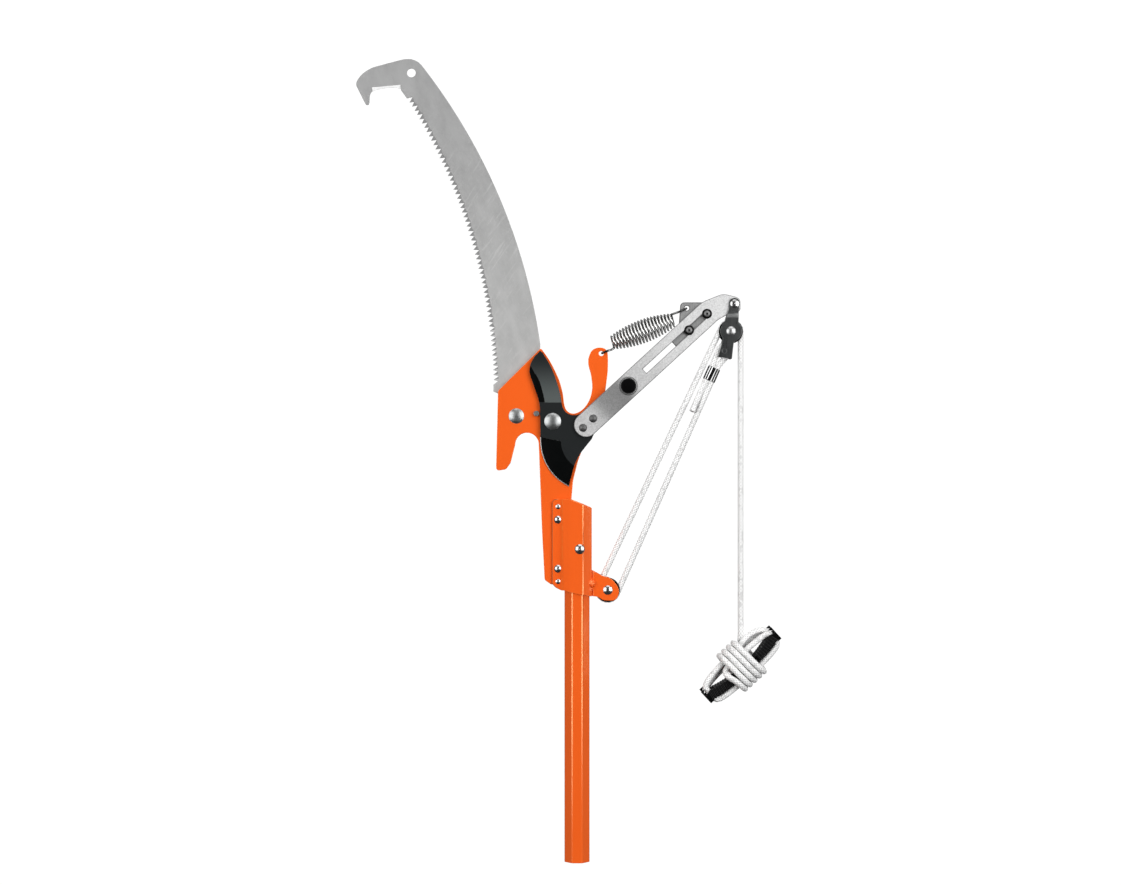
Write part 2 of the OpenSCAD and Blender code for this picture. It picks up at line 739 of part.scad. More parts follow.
coil_from = [35, -0.5, 518.2];
coil_to = [96.4, -3.5, 541.2];
coil_dir = unit(coil_to - coil_from);
coil_up = square_to([0, 0, 1], coil_dir);
coil_back = cross(coil_dir, coil_up);
coil_rings = 8;
function coil_point(s) =
    let (r = spring_end_r + (spring_mid_r - spring_end_r) * pow(sin(180 * s), 0.8),
         a = 180 + 360 * spring_turns * s)
    coil_from + s * (coil_to - coil_from) + r * (coil_up * cos(a) + coil_back * sin(a));
coil_steps = round(coil_rings * spring_turns);
coil_path = [for (k = [0:coil_steps]) coil_point(k / coil_steps)];
hook_off = wire_d / 2 + run_gap;
// The plate-end hook comes in front of the horn, turns through its hole and back behind it
horn_front = plate_y - hook_off;
plate_hook = [[30, -horn_front, 509.9], [27, -horn_front, 508.6], [25.5, -horn_front - 0.6, 508],
              [25.1, 0, 507.8], [25.5, horn_front + 0.6, 508], [27.2, horn_front, 508.7],
              [31.5, horn_front, 510.4], [34.6, horn_front / 2, 511.4]];
anchor_front = anchor_y - hook_off;
anchor_back = anchor_y + anchor_t + hook_off;
coil_end = coil_path[coil_steps];
hook_angle = 25;
hook_slope = [cos(hook_angle), 0, sin(hook_angle)];
hook_run = 8.6;
hook_inset = 0.6;
arm_hook_dir = unit(hook_at_y(hook_run, anchor_front) - coil_end);
// The arm-end hook is a length of its own from just past the last turn
hook_split = 2.6;
function hook_at_y(back, y) = to3(anchor_hole, y) - (back + hook_inset) * hook_slope;
spring_path = concat(plate_hook, coil_path, [coil_end + hook_split * arm_hook_dir]);
hook_path = concat(
    [coil_end + (hook_split + run_gap) * arm_hook_dir],
    [hook_at_y(hook_run, anchor_front), hook_at_y(4, anchor_front), hook_at_y(1.4, anchor_front),
     hook_at_y(0.3, anchor_front + 0.5), hook_at_y(0, anchor_y + anchor_t / 2),
     hook_at_y(0.3, anchor_back - 0.5), hook_at_y(1.4, anchor_back), hook_at_y(4, anchor_back)]);

module return_spring() {
    color("silver") tube(spring_path, wire_d, 6);
}

module spring_hook() {
    color("silver") tube(hook_path, wire_d, 6);
}

// Pulley block: two straps set out round the sheave, on a pin through the arm's tip

strap_head_in = arm_t / 2 + run_gap;
// A round disc on the axle, with a neck above it and a foot below
strap_disc = 10.8;
disc_steps = 14;
function disc_arc(from, to) = [for (k = [0:disc_steps])
    let (a = from + (to - from) * k / disc_steps, p = upper_axle_at - block_shift)
    [p.x + strap_disc * cos(a), p.y + strap_disc * sin(a), 0]];
strap_outline = rounded(concat(
    [[151.4, 562.4, 5.3], [162.2, 562.4, 5.3], [160.8, 547, 9], [160.4, 537.4, 2]],
    disc_arc(40, -66), [[155.7, 518, 2], [153.8, 501.3, 0.8], [140.3, 504, 0.8], [144.5, 520.4, 2]],
    disc_arc(-139, -212), [[147.4, 540.6, 6], [150.8, 551, 6]]));
joggle_z = [541.6, 547.4];
joggle_ease = 0.4;
strap_z = [495, 570];
strap_room = 20;
// Side view of the front strap: close to the arm above, set out beside the sheave below
strap_side = [
    [-strap_head_in, strap_z[1]], [-strap_head_in, joggle_z[1]], [-cheek_in, joggle_z[0]],
    [-cheek_in, strap_z[0]], [-cheek_in - strap_t, strap_z[0]],
    [-cheek_in - strap_t, joggle_z[0] + joggle_ease],
    [-strap_head_in - strap_t, joggle_z[1] + joggle_ease], [-strap_head_in - strap_t, strap_z[1]]];

module strap() {
    difference() {
        translate(to3(block_shift, 0)) intersection() {
            plate(strap_outline, -strap_room, strap_room);
            translate([0, 0, head_lift]) rotate([90, 0, 90]) linear_extrude(pole_std) polygon(strap_side);
        }
        bore(block_pin_at, block_pin_r, -strap_room, strap_room);
        bore(upper_axle_at, axle_r + bolt_fit, -strap_room, strap_room);
        bore(becket_at, becket_r, -strap_room, strap_room);
    }
}

module strap_front() {
    color([0.24, 0.24, 0.25]) translate([0, block_y, 0]) strap();
}

module strap_rear() {
    color([0.24, 0.24, 0.25]) translate([0, block_y, 0]) mirror([0, 1, 0]) strap();
}

// A pin with low riveted heads outside both straps
module strap_pin(at, r, head, half_w) {
    color("dimgray") {
        dome(at, head, block_y - half_w);
        rod(at, r, block_y - half_w, 2 * half_w);
        translate([0, 2 * block_y, 0]) mirror([0, 1, 0]) dome(at, head, block_y - half_w);
    }
}

module block_pin() {
    strap_pin(block_pin_at, block_pin_r, block_pin_head, strap_head_in + strap_t);
}

// The becket pin's ends are filed flush
module becket_pin() {
    color("dimgray") rod(becket_at, becket_r, block_y - cheek_in - strap_t, 2 * (cheek_in + strap_t));
}

module upper_axle() {
    axle(upper_axle_at, block_y, cheek_in + strap_t);
}

module upper_sheave() {
    sheave(upper_axle_at, block_y);
}

// Rope: an eye on the becket pin, its ferrule, two strands between the pulleys, and the fall

// The standing strand leaves the lower sheave on its right and runs to the ferrule's right barrel
ferrule_line = ferrule_at - lower_axle_at;
standing_angle = atan2(ferrule_line.y, ferrule_line.x)
    + asin((sheave_pitch_r - ferrule_gap) / norm(ferrule_line));
rope_dir = [cos(standing_angle), sin(standing_angle)];
rope_left = [-rope_dir.y, rope_dir.x];
ferrule_top = ferrule_at + ferrule_len / 2 * rope_dir;
ferrule_foot = ferrule_at - ferrule_len / 2 * rope_dir;
standing_from = lower_axle_at - sheave_pitch_r * rope_left;
standing_to = ferrule_foot - ferrule_gap * rope_left - join_gap * rope_dir;
strand_rings = 12;

module standing_strand() {
    color("whitesmoke") tube([for (k = [0:strand_rings]) let (s = k / strand_rings)
        to3(standing_from + s * (standing_to - standing_from), s * block_y)], rope_d, 8);
}

// The return strand starts with the wrap under the lower sheave and ends over the upper one
return_dir = unit(pulley_line);
return_left = [-return_dir.y, return_dir.x];
return_from = lower_axle_at + sheave_pitch_r * return_left;
return_to = upper_axle_at + sheave_pitch_r * return_left;
wrap_step = 15;
// Turn on a sheave that leaves join_gap between two lengths of the rope
join_angle = 2 * asin(join_gap / 2 / sheave_pitch_r);
lower_wrap = [for (a = [standing_angle + 270 - join_angle:-wrap_step:return_angle + 90 + wrap_step / 2])
    to3(polar(lower_axle_at, sheave_pitch_r, a), 0)];

module return_strand() {
    color("whitesmoke") tube(concat(lower_wrap,
        [for (k = [0:strand_rings]) let (s = k / strand_rings)
            to3(return_from + s * (return_to - return_from), s * block_y)]), rope_d, 8);
}

upper_wrap = [for (a = [return_angle + 90 - join_angle:-wrap_step:wrap_step / 2])
    to3(polar(upper_axle_at, sheave_pitch_r, a), block_y)];

module rope_fall() {
    top = upper_axle_at.y;
    drop = [for (k = [0:strand_rings]) [fall_x, block_y, top + (fall_end - top) * k / strand_rings]];
    color("whitesmoke") tube(concat(upper_wrap, drop), rope_d, 8);
}

// The eye goes up from the ferrule's left barrel, over the becket pin and back to its right barrel
eye_r = becket_r + rope_r + run_gap;
eye_path = concat(
    [for (rise = [0, 5]) ferrule_top + ferrule_gap * rope_left + rise * rope_dir],
    [for (a = [152:-22:-46]) polar(becket_at, eye_r, a)],
    [for (rise = [4, 0]) ferrule_top - ferrule_gap * rope_left + rise * rope_dir]);

module rope_eye() {
    color("whitesmoke") tube([for (p = eye_path) to3(p, block_y)], rope_d, 8);
}

// Two barrels pressed side by side round the rope
module rope_ferrule() {
    color("silver") translate([ferrule_at.x, block_y, ferrule_at.y + head_lift])
        rotate([0, 90 - standing_angle, 0])
            for (side = [-1, 1])
                translate([side * ferrule_gap, 0, -ferrule_len / 2])
                    cylinder(r = ferrule_r, h = ferrule_len);
}

// The cut end hangs from the ferrule's left barrel and leans out in front of the strands
dead_from = ferrule_foot + ferrule_gap * rope_left - join_gap * rope_dir;
dead_lean = 4.5;
dead_path = [for (s = [0, 0.2, 0.5, 0.8, 1])
    to3(dead_from - s * dead_end_len * rope_dir, block_y - dead_lean * s * s)];

module rope_dead_end() {
    color("whitesmoke") tube(dead_path, rope_d, 8);
}

// Rope handle: a curved ribbed bar with slotted ends, and the hank wound on it

module on_handle() {
    translate([handle_at.x, block_y, handle_at.y + head_lift]) rotate([0, -handle_angle, 0]) children();
}

half_len = handle_len / 2;
rib_out = 0.5;
rib_rise = 0.25;
bar_steps = 10;
// The bar sags and narrows to a waist at its middle
function bar_mid(u) = -handle_sag * (1 - pow(u / half_len, 2));
function bar_half(u) = (waist_h + (handle_h - waist_h) * pow(u / half_len, 2)) / 2;
function bar_slope(u) = atan(2 * handle_sag * u / half_len / half_len);
bar_outline = concat(
    [for (k = [-bar_steps:bar_steps]) let (u = half_len * k / bar_steps) [u, bar_mid(u) - bar_half(u)]],
    [for (k = [bar_steps:-1:-bar_steps]) let (u = half_len * k / bar_steps) [u, bar_mid(u) + bar_half(u)]]);
// The ribs stand between the binding and the end flange, and the rope enters its fork by a notch
waist_half = 17;
rib_step = (half_len - end_t - waist_half) / handle_ribs;
notch_in = half_len - 12;
notch_out = half_len - 1.2;
notch = [[notch_in, 4.4], [notch_in, end_h], [notch_in + 0.2, end_h], [notch_out, 4], [notch_out, 1.2],
         [notch_out - 4.3, 2.4]];

module across(outline) {
    translate([0, handle_d, 0]) rotate([90, 0, 0]) linear_extrude(2 * handle_d) polygon(outline);
}

module rope_handle() {
    color([0.07, 0.07, 0.07]) on_handle() difference() {
        union() {
            translate([0, handle_d / 2, 0]) rotate([90, 0, 0]) linear_extrude(handle_d) polygon(bar_outline);
            for (side = [-1, 1]) {
                for (k = [0:handle_ribs - 1]) {
                    u = side * (waist_half + (k + 0.5) * rib_step);
                    high = bar_half(u) + rib_rise;
                    translate([u, 0, bar_mid(u)]) rotate([0, -bar_slope(u), 0])
                        translate([-rib_step / 4, -handle_d / 2 - rib_out, -high])
                            cube([rib_step / 2, handle_d + 2 * rib_out, 2 * high]);
                }
                translate([side * (half_len - end_t / 2) - end_t / 2, -handle_d / 2, -end_h / 2])
                    cube([end_t, handle_d, end_h]);
            }
        }
        for (side = [-1, 1]) {
            translate([side * half_len - slot_depth, -slot_w / 2, -end_h - handle_h])
                cube([2 * slot_depth, slot_w, 2 * (end_h + handle_h)]);
            across([for (p = notch) [side * p.x, p.y]]);
        }
    }
}

// Hank: lengthwise loops from the rear to the front, then crosswise turns that bind them
loop_rings = 24;
end_room = 1.3;
hank_pitch = rope_d + 0.55;
loop_end = half_len - slot_depth + rope_r + end_room;
loop_mid = -1;
// Height of each loop's upper run at its middle, its swell to the right of the binding, and depth of
// the lower runs
loop_tops = [7.6, 10.6, 13.2, 7.6];
loop_swells = [0, 0, 3.5, 0];
swell_from = 10;
loop_low = 13.5;
top_round = 0.35;
low_round = 0.3;
loop_turns = [0.28, 3.28];
function smooth(x) = let (s = max(0, min(1, x))) s * s * (3 - 2 * s);
// A run shifts by one pitch on its way over the top, and not inside the forks
function loop_y(turns) =
    max(-1.5, 2 - floor(turns) - smooth(((turns - floor(turns)) * 2 - 0.08) / 0.84)) * hank_pitch;
function swell(u) = let (w = (u - swell_from) / (loop_end - swell_from)) w > 0 ? 4 * w * (1 - w) : 0;
function loop_point(turns) =
    let (s = sin(360 * turns), u = loop_end * cos(360 * turns), k = floor(turns))
    [u, loop_y(turns),
     s > 0 ? loop_mid + (loop_tops[k] - loop_mid) * pow(s, top_round) + loop_swells[k] * swell(u)
     : loop_mid - (loop_low + loop_mid) * pow(-s, low_round)];

bind_y = handle_d / 2 + rib_out + rope_r + 1.9;
bind_v = 20.4;
bind_mid = -0.5;
bind_square = 0.75;
bind_turns = 4.5;
bind_from = 1 / 12;
function squared(x) = sign(x) * pow(abs(x), bind_square);
function bind_point(turns) =
    [hank_pitch * (turns - bind_turns / 2), -bind_y * squared(cos(360 * turns)),
     bind_mid - bind_v * squared(sin(360 * turns))];

fall_local = let (p = [fall_x, fall_end] - handle_at)
    [p.x * cos(handle_angle) + p.y * sin(handle_angle), 0,
     p.y * cos(handle_angle) - p.x * sin(handle_angle)];
plumb_local = [sin(handle_angle), 0, cos(handle_angle)];
loop_count = round(loop_rings * (loop_turns[1] - loop_turns[0]));
loops_part = [for (k = [0:loop_count])
    loop_point(loop_turns[0] + (loop_turns[1] - loop_turns[0]) * k / loop_count)];
bind_count = round(loop_rings * (bind_turns - bind_from));
binds_part = [for (k = [0:bind_count]) bind_point(bind_from + (bind_turns - bind_from) * k / bind_count)];
loops_last = loops_part[loop_count];
loops_way = unit(loops_last - loops_part[loop_count - 1]);
binds_way = unit(binds_part[1] - binds_part[0]);
hank_exit = fall_local - rope_d * plumb_local;
hank_local = concat(
    loops_part,
    joined(loops_last, 16 * loops_way, binds_part[0], 14 * binds_way, 9),
    binds_part,
    joined(binds_part[bind_count], [0, 0, 18], hank_exit, 10 * plumb_local, 12),
    [hank_exit, fall_local]);

function handle_to_world(p) =
    [handle_at.x + p.x * cos(handle_angle) - p.z * sin(handle_angle), block_y + p.y,
     handle_at.y + p.x * sin(handle_angle) + p.z * cos(handle_angle)];
hank_path = [for (p = hank_local) handle_to_world(p)];

module rope_hank() {
    color("whitesmoke") tube(hank_path, rope_d, 6);
}

echo(least_gap_in_spring = self_gap(spring_path, wire_d, 5));
echo(least_gap_in_hank = self_gap(hank_path, rope_d, 6));

pole();
pole_socket();
socket_bolts();
socket_nuts();
socket_rivets();
pole_bolt();
pole_nut();
pulley_bracket();
bracket_weld();
lower_axle();
lower_sheave();
head_plate();
saw_blade();
saw_bolt();
saw_nut();
stop_pin();
pivot_bolt();
pivot_nut();
cutter_blade();
lever_arm();
lever_rivets();
arm_plug();
spring_anchor();
anchor_bolts();
anchor_nuts();
return_spring();
spring_hook();
strap_front();
strap_rear();
block_pin();
upper_axle();
upper_sheave();
becket_pin();
rope_eye();
rope_ferrule();
rope_dead_end();
standing_strand();
return_strand();
rope_fall();
rope_handle();
rope_hank();
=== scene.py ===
"""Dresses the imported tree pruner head: paint, steels, braided rope, spring and a plain studio.

Lengths are in millimetres inside the classes, as in the part's source, and become metres when a
mesh is made.
"""

from __future__ import annotations

import json
import logging
import math
from dataclasses import dataclass, field
from enum import Enum
from typing import Any, Callable, Mapping, Sequence, Union

import bmesh
import bpy
import numpy as np
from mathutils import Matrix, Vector, noise

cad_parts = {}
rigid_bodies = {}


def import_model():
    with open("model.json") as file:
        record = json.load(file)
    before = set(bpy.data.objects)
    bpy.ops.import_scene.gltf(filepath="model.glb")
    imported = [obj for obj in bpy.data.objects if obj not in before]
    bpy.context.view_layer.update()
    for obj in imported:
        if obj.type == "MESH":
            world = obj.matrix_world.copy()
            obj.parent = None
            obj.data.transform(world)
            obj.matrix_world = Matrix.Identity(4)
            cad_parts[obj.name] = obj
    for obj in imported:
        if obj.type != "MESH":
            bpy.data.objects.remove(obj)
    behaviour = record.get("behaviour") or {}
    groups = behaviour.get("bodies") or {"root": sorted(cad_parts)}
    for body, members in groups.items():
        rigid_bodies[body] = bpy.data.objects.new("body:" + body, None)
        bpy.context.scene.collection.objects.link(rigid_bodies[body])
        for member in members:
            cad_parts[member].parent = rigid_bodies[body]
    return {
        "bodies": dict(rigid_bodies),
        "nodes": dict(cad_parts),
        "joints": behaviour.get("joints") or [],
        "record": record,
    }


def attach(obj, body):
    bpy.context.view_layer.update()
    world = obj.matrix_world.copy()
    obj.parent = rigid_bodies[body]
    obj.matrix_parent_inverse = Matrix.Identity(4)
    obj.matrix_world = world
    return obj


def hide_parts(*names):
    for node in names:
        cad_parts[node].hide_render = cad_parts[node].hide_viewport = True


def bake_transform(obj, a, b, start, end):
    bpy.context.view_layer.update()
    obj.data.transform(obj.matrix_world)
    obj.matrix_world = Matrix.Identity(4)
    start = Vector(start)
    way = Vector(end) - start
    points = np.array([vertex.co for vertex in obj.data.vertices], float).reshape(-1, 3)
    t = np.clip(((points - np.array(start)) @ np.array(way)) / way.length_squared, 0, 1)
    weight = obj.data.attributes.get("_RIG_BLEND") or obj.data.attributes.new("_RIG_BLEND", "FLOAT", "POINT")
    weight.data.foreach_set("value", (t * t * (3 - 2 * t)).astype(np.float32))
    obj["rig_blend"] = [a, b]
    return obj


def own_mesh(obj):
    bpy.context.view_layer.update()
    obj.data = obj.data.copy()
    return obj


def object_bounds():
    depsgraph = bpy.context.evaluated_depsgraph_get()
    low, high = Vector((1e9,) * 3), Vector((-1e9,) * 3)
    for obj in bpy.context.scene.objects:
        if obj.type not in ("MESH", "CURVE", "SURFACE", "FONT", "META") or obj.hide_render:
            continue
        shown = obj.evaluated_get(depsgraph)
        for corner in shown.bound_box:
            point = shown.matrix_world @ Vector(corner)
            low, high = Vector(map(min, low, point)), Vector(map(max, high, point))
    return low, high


log = logging.getLogger("pruner")

MM = 0.001
FINE_GRAIN = 0.00003
MERGE_DISTANCE = 1e-6
Colour = tuple[float, float, float]
Key = Union[int, str]


class Slot(Enum):
    """The record's material slots."""

    ORANGE_PAINT = "orange_paint"
    ZINC_PLATE = "zinc_plate"
    BRIGHT_ZINC = "bright_zinc"
    SAW_STEEL = "saw_steel"
    BLACK_STEEL = "black_steel"
    ARM_STEEL = "arm_steel"
    DARK_STEEL = "dark_steel"
    STRAP_STEEL = "strap_steel"
    SPRING_WIRE = "spring_wire"
    ROPE = "rope"
    BLACK_PLASTIC = "black_plastic"


class Value:
    """A node's output socket that takes part in Python arithmetic."""

    def __init__(self, graph: Graph, socket: bpy.types.NodeSocket) -> None:
        """Keeps the socket and the graph that it belongs to."""
        self.graph = graph
        self.socket = socket

    def math(self, operation: str, *others: Number) -> Value:
        """Returns a Math node of this value and the others."""
        return self.graph.math(operation, self, *others)

    def __add__(self, other: Number) -> Value:
        """Adds."""
        return self.math("ADD", other)

    def __mul__(self, other: Number) -> Value:
        """Multiplies."""
        return self.math("MULTIPLY", other)

    def __sub__(self, other: Number) -> Value:
        """Subtracts."""
        return self.math("SUBTRACT", other)

    def __rsub__(self, other: Number) -> Value:
        """Subtracts this value from a number."""
        return self.graph.math("SUBTRACT", other, self)

    def __truediv__(self, other: Number) -> Value:
        """Divides."""
        return self.math("DIVIDE", other)

    def __pow__(self, other: Number) -> Value:
        """Raises to a power."""
        return self.math("POWER", other)

    def __gt__(self, other: Number) -> Value:
        """Is 1 where this value is the greater."""
        return self.math("GREATER_THAN", other)

    def __lt__(self, other: Number) -> Value:
        """Is 1 where this value is the lesser."""
        return self.math("LESS_THAN", other)

    __radd__ = __add__
    __rmul__ = __mul__


Number = Union[Value, float, int]


class Graph:
    """Builds the nodes of one tree, for shaders and for geometry alike."""

    def __init__(self, tree: bpy.types.NodeTree) -> None:
        """Keeps the tree."""
        self.tree = tree

    def node(
        self,
        kind: str,
        settings: Mapping[str, Any] | None = None,
        sockets: Mapping[Key, Any] | None = None,
        out: Key = 0,
    ) -> Value:
        """Adds a node.

        Args:
            kind: The node's type.
            settings: Its properties, set first.
            sockets: Values or links of its inputs, by name or index.
            out: The output that is returned.

        Returns:
            The chosen output.
        """
        made = self.tree.nodes.new(kind)
        for name, value in (settings or {}).items():
            setattr(made, name, value)
        for key, value in (sockets or {}).items():
            if isinstance(value, Value):
                self.tree.links.new(value.socket, made.inputs[key])
            else:
                made.inputs[key].default_value = value
        return Value(self, made.outputs[out])

    def math(self, operation: str, *values: Number) -> Value:
        """Returns a Math node of the values."""
        return self.node("ShaderNodeMath", {"operation": operation}, dict(enumerate(values)))

    def vector(self, operation: str, *values: Any) -> Value:
        """Returns a Vector Math node of the values."""
        return self.node("ShaderNodeVectorMath", {"operation": operation}, dict(enumerate(values)))

    def scaled(self, vector: Value, factor: Number) -> Value:
        """Returns a vector times a number."""
        return self.node(
            "ShaderNodeVectorMath", {"operation": "SCALE"}, {0: vector, "Scale": factor}
        )


class Shader(Graph):
    """The nodes of one material."""

    def object_coords(self) -> Value:
        """Returns the place on the piece, in metres."""
        return self.node("ShaderNodeTexCoord", out="Object")

    def axes(self, vector: Value) -> tuple[Value, Value, Value]:
        """Returns the three parts of a vector."""
        split = self.node("ShaderNodeSeparateXYZ", sockets={0: vector})
        return tuple(Value(self, out) for out in split.socket.node.outputs)

    def noise(self, at: Value, scale: float, detail: float = 2.0, rough: float = 0.5) -> Value:
        """Returns a noise from 0 to 1 whose grains are about 1 / scale metres wide."""
        return self.node(
            "ShaderNodeTexNoise",
            sockets={"Vector": at, "Scale": scale, "Detail": detail, "Roughness": rough},
        )

    def mapped(self, at: Value, turn: float, scale: Colour) -> Value:
        """Returns coordinates turned about Y by degrees and then stretched."""
        turned = self.node(
            "ShaderNodeMapping", sockets={"Vector": at, "Rotation": (0, math.radians(turn), 0)}
        )
        return self.vector("MULTIPLY", turned, scale)

    def between(self, value: Value, low: float, high: float) -> Value:
        """Returns 0 at low and 1 at high, with a smooth step between them."""
        return self.node(
            "ShaderNodeMapRange",
            {"interpolation_type": "SMOOTHSTEP"},
            {"Value": value, "From Min": low, "From Max": high},
        )

    def mix(self, factor: Number, first: Any, second: Any) -> Value:
        """Returns a colour between two colours."""
        first, second = (
            shade if isinstance(shade, Value) else (*shade, 1.0) for shade in (first, second)
        )
        return self.node(
            "ShaderNodeMix", {"data_type": "RGBA"}, {0: factor, 6: first, 7: second}, out=2
        )

    def edge(self) -> Value:
        """Returns the piece's own mark, which is 1 on its rounded edges; on the saw's teeth and hook and on
        the spring's crowns it places painted light.
        """
        return self.node("ShaderNodeAttribute", {"attribute_name": "edge"}, out="Fac")

    def bump(self, height: Value, distance: float, strength: float = 1.0) -> Value:
        """Returns a normal for a height in units of distance metres."""
        return self.node(
            "ShaderNodeBump",
            sockets={"Height": height, "Distance": distance, "Strength": strength},
        )

    def surface(self, sockets: Mapping[str, Any]) -> None:
        """Sets values and links on the material's Principled shader.

        Args:
            sockets: The values and links, by the socket's name.
        """
        shader = self.tree.nodes["Principled BSDF"]
        for name, value in sockets.items():
            if isinstance(value, Value):
                self.tree.links.new(value.socket, shader.inputs[name])
            elif isinstance(value, tuple):
                shader.inputs[name].default_value = (*value, 1.0)
            else:
                shader.inputs[name].default_value = value


@dataclass(frozen=True)
class Finish:
    """A finish of the head, made into one material."""

    slot: Slot
    variant: str = field(default="", kw_only=True)

    def material(self) -> bpy.types.Material:
        """Finds the finish's material, which is made once.

        Returns:
            The material.
        """
        name = f"{self.slot.value}{self.variant}_finish"
        found = bpy.data.materials.get(name)
        if found:
            return found
        made = bpy.data.materials.new(name)
        made.use_nodes = True
        self.shade(Shader(made.node_tree))
        return made

    def shade(self, g: Shader) -> None:
        """Builds the finish's nodes.

        Args:
            g: The material\'s graph.
        """
        raise NotImplementedError


@dataclass(frozen=True)
class PowderCoat(Finish):
    """Semi-gloss powder coat with a fine orange peel, paler in patches on its edges: wear from rubbing and a
    painted highlight.
    """

    face: Colour = (0.99, 0.138, 0.0145)
    deep: Colour = (0.93, 0.118, 0.011)
    wear_and_edge_highlight: Colour = (0.96, 0.23, 0.04)
    sheen: Colour = (1.0, 0.76, 0.4)

    def shade(self, g: Shader) -> None:
        """Builds the paint's nodes.

        Args:
            g: The material\'s graph.
        """
        at = g.object_coords()
        cloud = g.noise(at, 11, 3)
        peel = g.noise(at, 950, 1)
        grit = g.noise(at, 3600, 2)
        g.surface(
            {
                "Base Color": self.edged(g, at, g.mix(cloud, self.deep, self.face)),
                "Roughness": self.dull(g, at) + 0.05 * cloud + 0.04 * grit,
                "IOR": 1.9,
                "Specular IOR Level": 0.8,
                "Specular Tint": self.sheen,
                "Normal": g.bump(peel + 0.4 * grit, 0.00004),
            }
        )

    def edged(self, g: Shader, at: Value, paint: Value) -> Value:
        """Returns the paint's colour, paler here and there along the edges: wear from rubbing and a painted
        highlight.
        """
        # painted highlight and wear from rubbing: the rounded edges are lightened in noisy patches
        rub = g.edge() * g.between(g.noise(at, 160, 4), 0.35, 0.7) * 0.6
        return g.mix(rub, paint, self.wear_and_edge_highlight)

    def dull(self, g: Shader, at: Value) -> Number:
        """Returns the least roughness of the coat."""
        return 0.08


@dataclass(frozen=True)
class FlangeCoat(PowderCoat):
    """Powder coat with a painted shadow along the edges of the socket's flange, where the coat is also
    duller.
    """

    flange_shadow: Colour = (0.2, 0.025, 0.002)
    flange_x: tuple[float, float] = (-18.0, -21.0)

    def edged(self, g: Shader, at: Value, paint: Value) -> Value:
        """Returns the paint's colour with a painted shadow along the edges of the flange."""
        # painted shadow: the flange's rounded edges are darkened
        return g.mix(self._rim(g, at) * 0.9, super().edged(g, at, paint), self.flange_shadow)

    def dull(self, g: Shader, at: Value) -> Number:
        """Returns the least roughness of the coat, which is dull along the flange."""
        return super().dull(g, at) + 0.6 * self._rim(g, at)

    def _rim(self, g: Shader, at: Value) -> Value:
        """Returns 1 on the flange's edges."""
        return g.edge() * g.between(g.axes(at)[0] / MM, *self.flange_x)


@dataclass(frozen=True)
class BrushedSteel(Finish):
    """Satin steel with brush lines, cloudy patches and bright flecks."""

    dark: Colour
    light: Colour
    lean: float = 0.0
    rough: float = 0.36
    line_scale: Colour = (2600.0, 900.0, 90.0)
    wear_and_painted_edge_light: Colour = (0.72, 0.72, 0.71)
    metal: float = 0.92

    def shade(self, g: Shader) -> None:
        """Builds the steel's nodes.

        Args:
            g: The material\'s graph.
        """
        at = g.object_coords()
        lines = g.noise(g.mapped(at, self.lean, self.line_scale), 1.0, 3)
        patch = g.noise(at, 46, 5, 0.68)
        fleck = g.between(g.noise(at, 560, 3, 0.7), 0.56, 0.74)
        tone = g.between(0.55 * patch + 0.45 * lines, 0.3, 0.7)
        steel = g.mix(fleck * 0.35, g.mix(tone, self.dark, self.light), self.wear_and_painted_edge_light)
        steel = self.toned(g, at, steel)
        g.surface(
            {
                # edge colour on the rounded edges; on the spring's crowns it is a painted highlight, on the
                # anchor's edges a painted shadow
                "Base Color": g.mix(g.edge() * 0.7, steel, self.wear_and_painted_edge_light),
                "Roughness": self.rough + 0.12 * patch + 0.08 * lines - 0.06 * fleck,
                "Metallic": self.metal,
                "Normal": g.bump(lines + 0.5 * fleck, FINE_GRAIN),
            }
        )

    def toned(self, g: Shader, at: Value, steel: Value) -> Value:
        """Returns the steel's colour, which some steels change from place to place."""
        return steel


@dataclass(frozen=True)
class SpringWire(BrushedSteel):
    """Drawn wire with a painted highlight along its crowns, whose two hooks are duller than its coil."""

    hook: Colour = (0.07, 0.07, 0.07)
    coil: tuple[float, float] = (33.0, 98.5)
    fade: float = 2.0

    def toned(self, g: Shader, at: Value, steel: Value) -> Value:
        """Dulls the wire beyond the coil's two ends.

        Args:
            g: The material's graph.
            at: The place on the piece.
            steel: The colour of the wire.

        Returns:
            The new colour.
        """
        x = g.axes(at)[0] / MM
        low, high = self.coil
        beyond = g.between(x, low, low - self.fade) + g.between(x, high, high + self.fade)
        return g.mix(beyond, steel, self.hook)


@dataclass(frozen=True)
class StrapSteel(BrushedSteel):
    """Dark strap steel with a painted highlight where it is bent."""

    bend_highlight: Colour = (0.3, 0.305, 0.305)
    foot: tuple[float, float] = (541.8, 543.8)
    top: tuple[float, float] = (547.4, 545.4)

    def toned(self, g: Shader, at: Value, steel: Value) -> Value:
        """Returns the steel's colour with a painted highlight along the bent band."""
        up = g.axes(at)[2] / MM
        # painted highlight across the bent band between its foot and its top
        return g.mix(g.between(up, *self.foot) * g.between(up, *self.top), steel, self.bend_highlight)


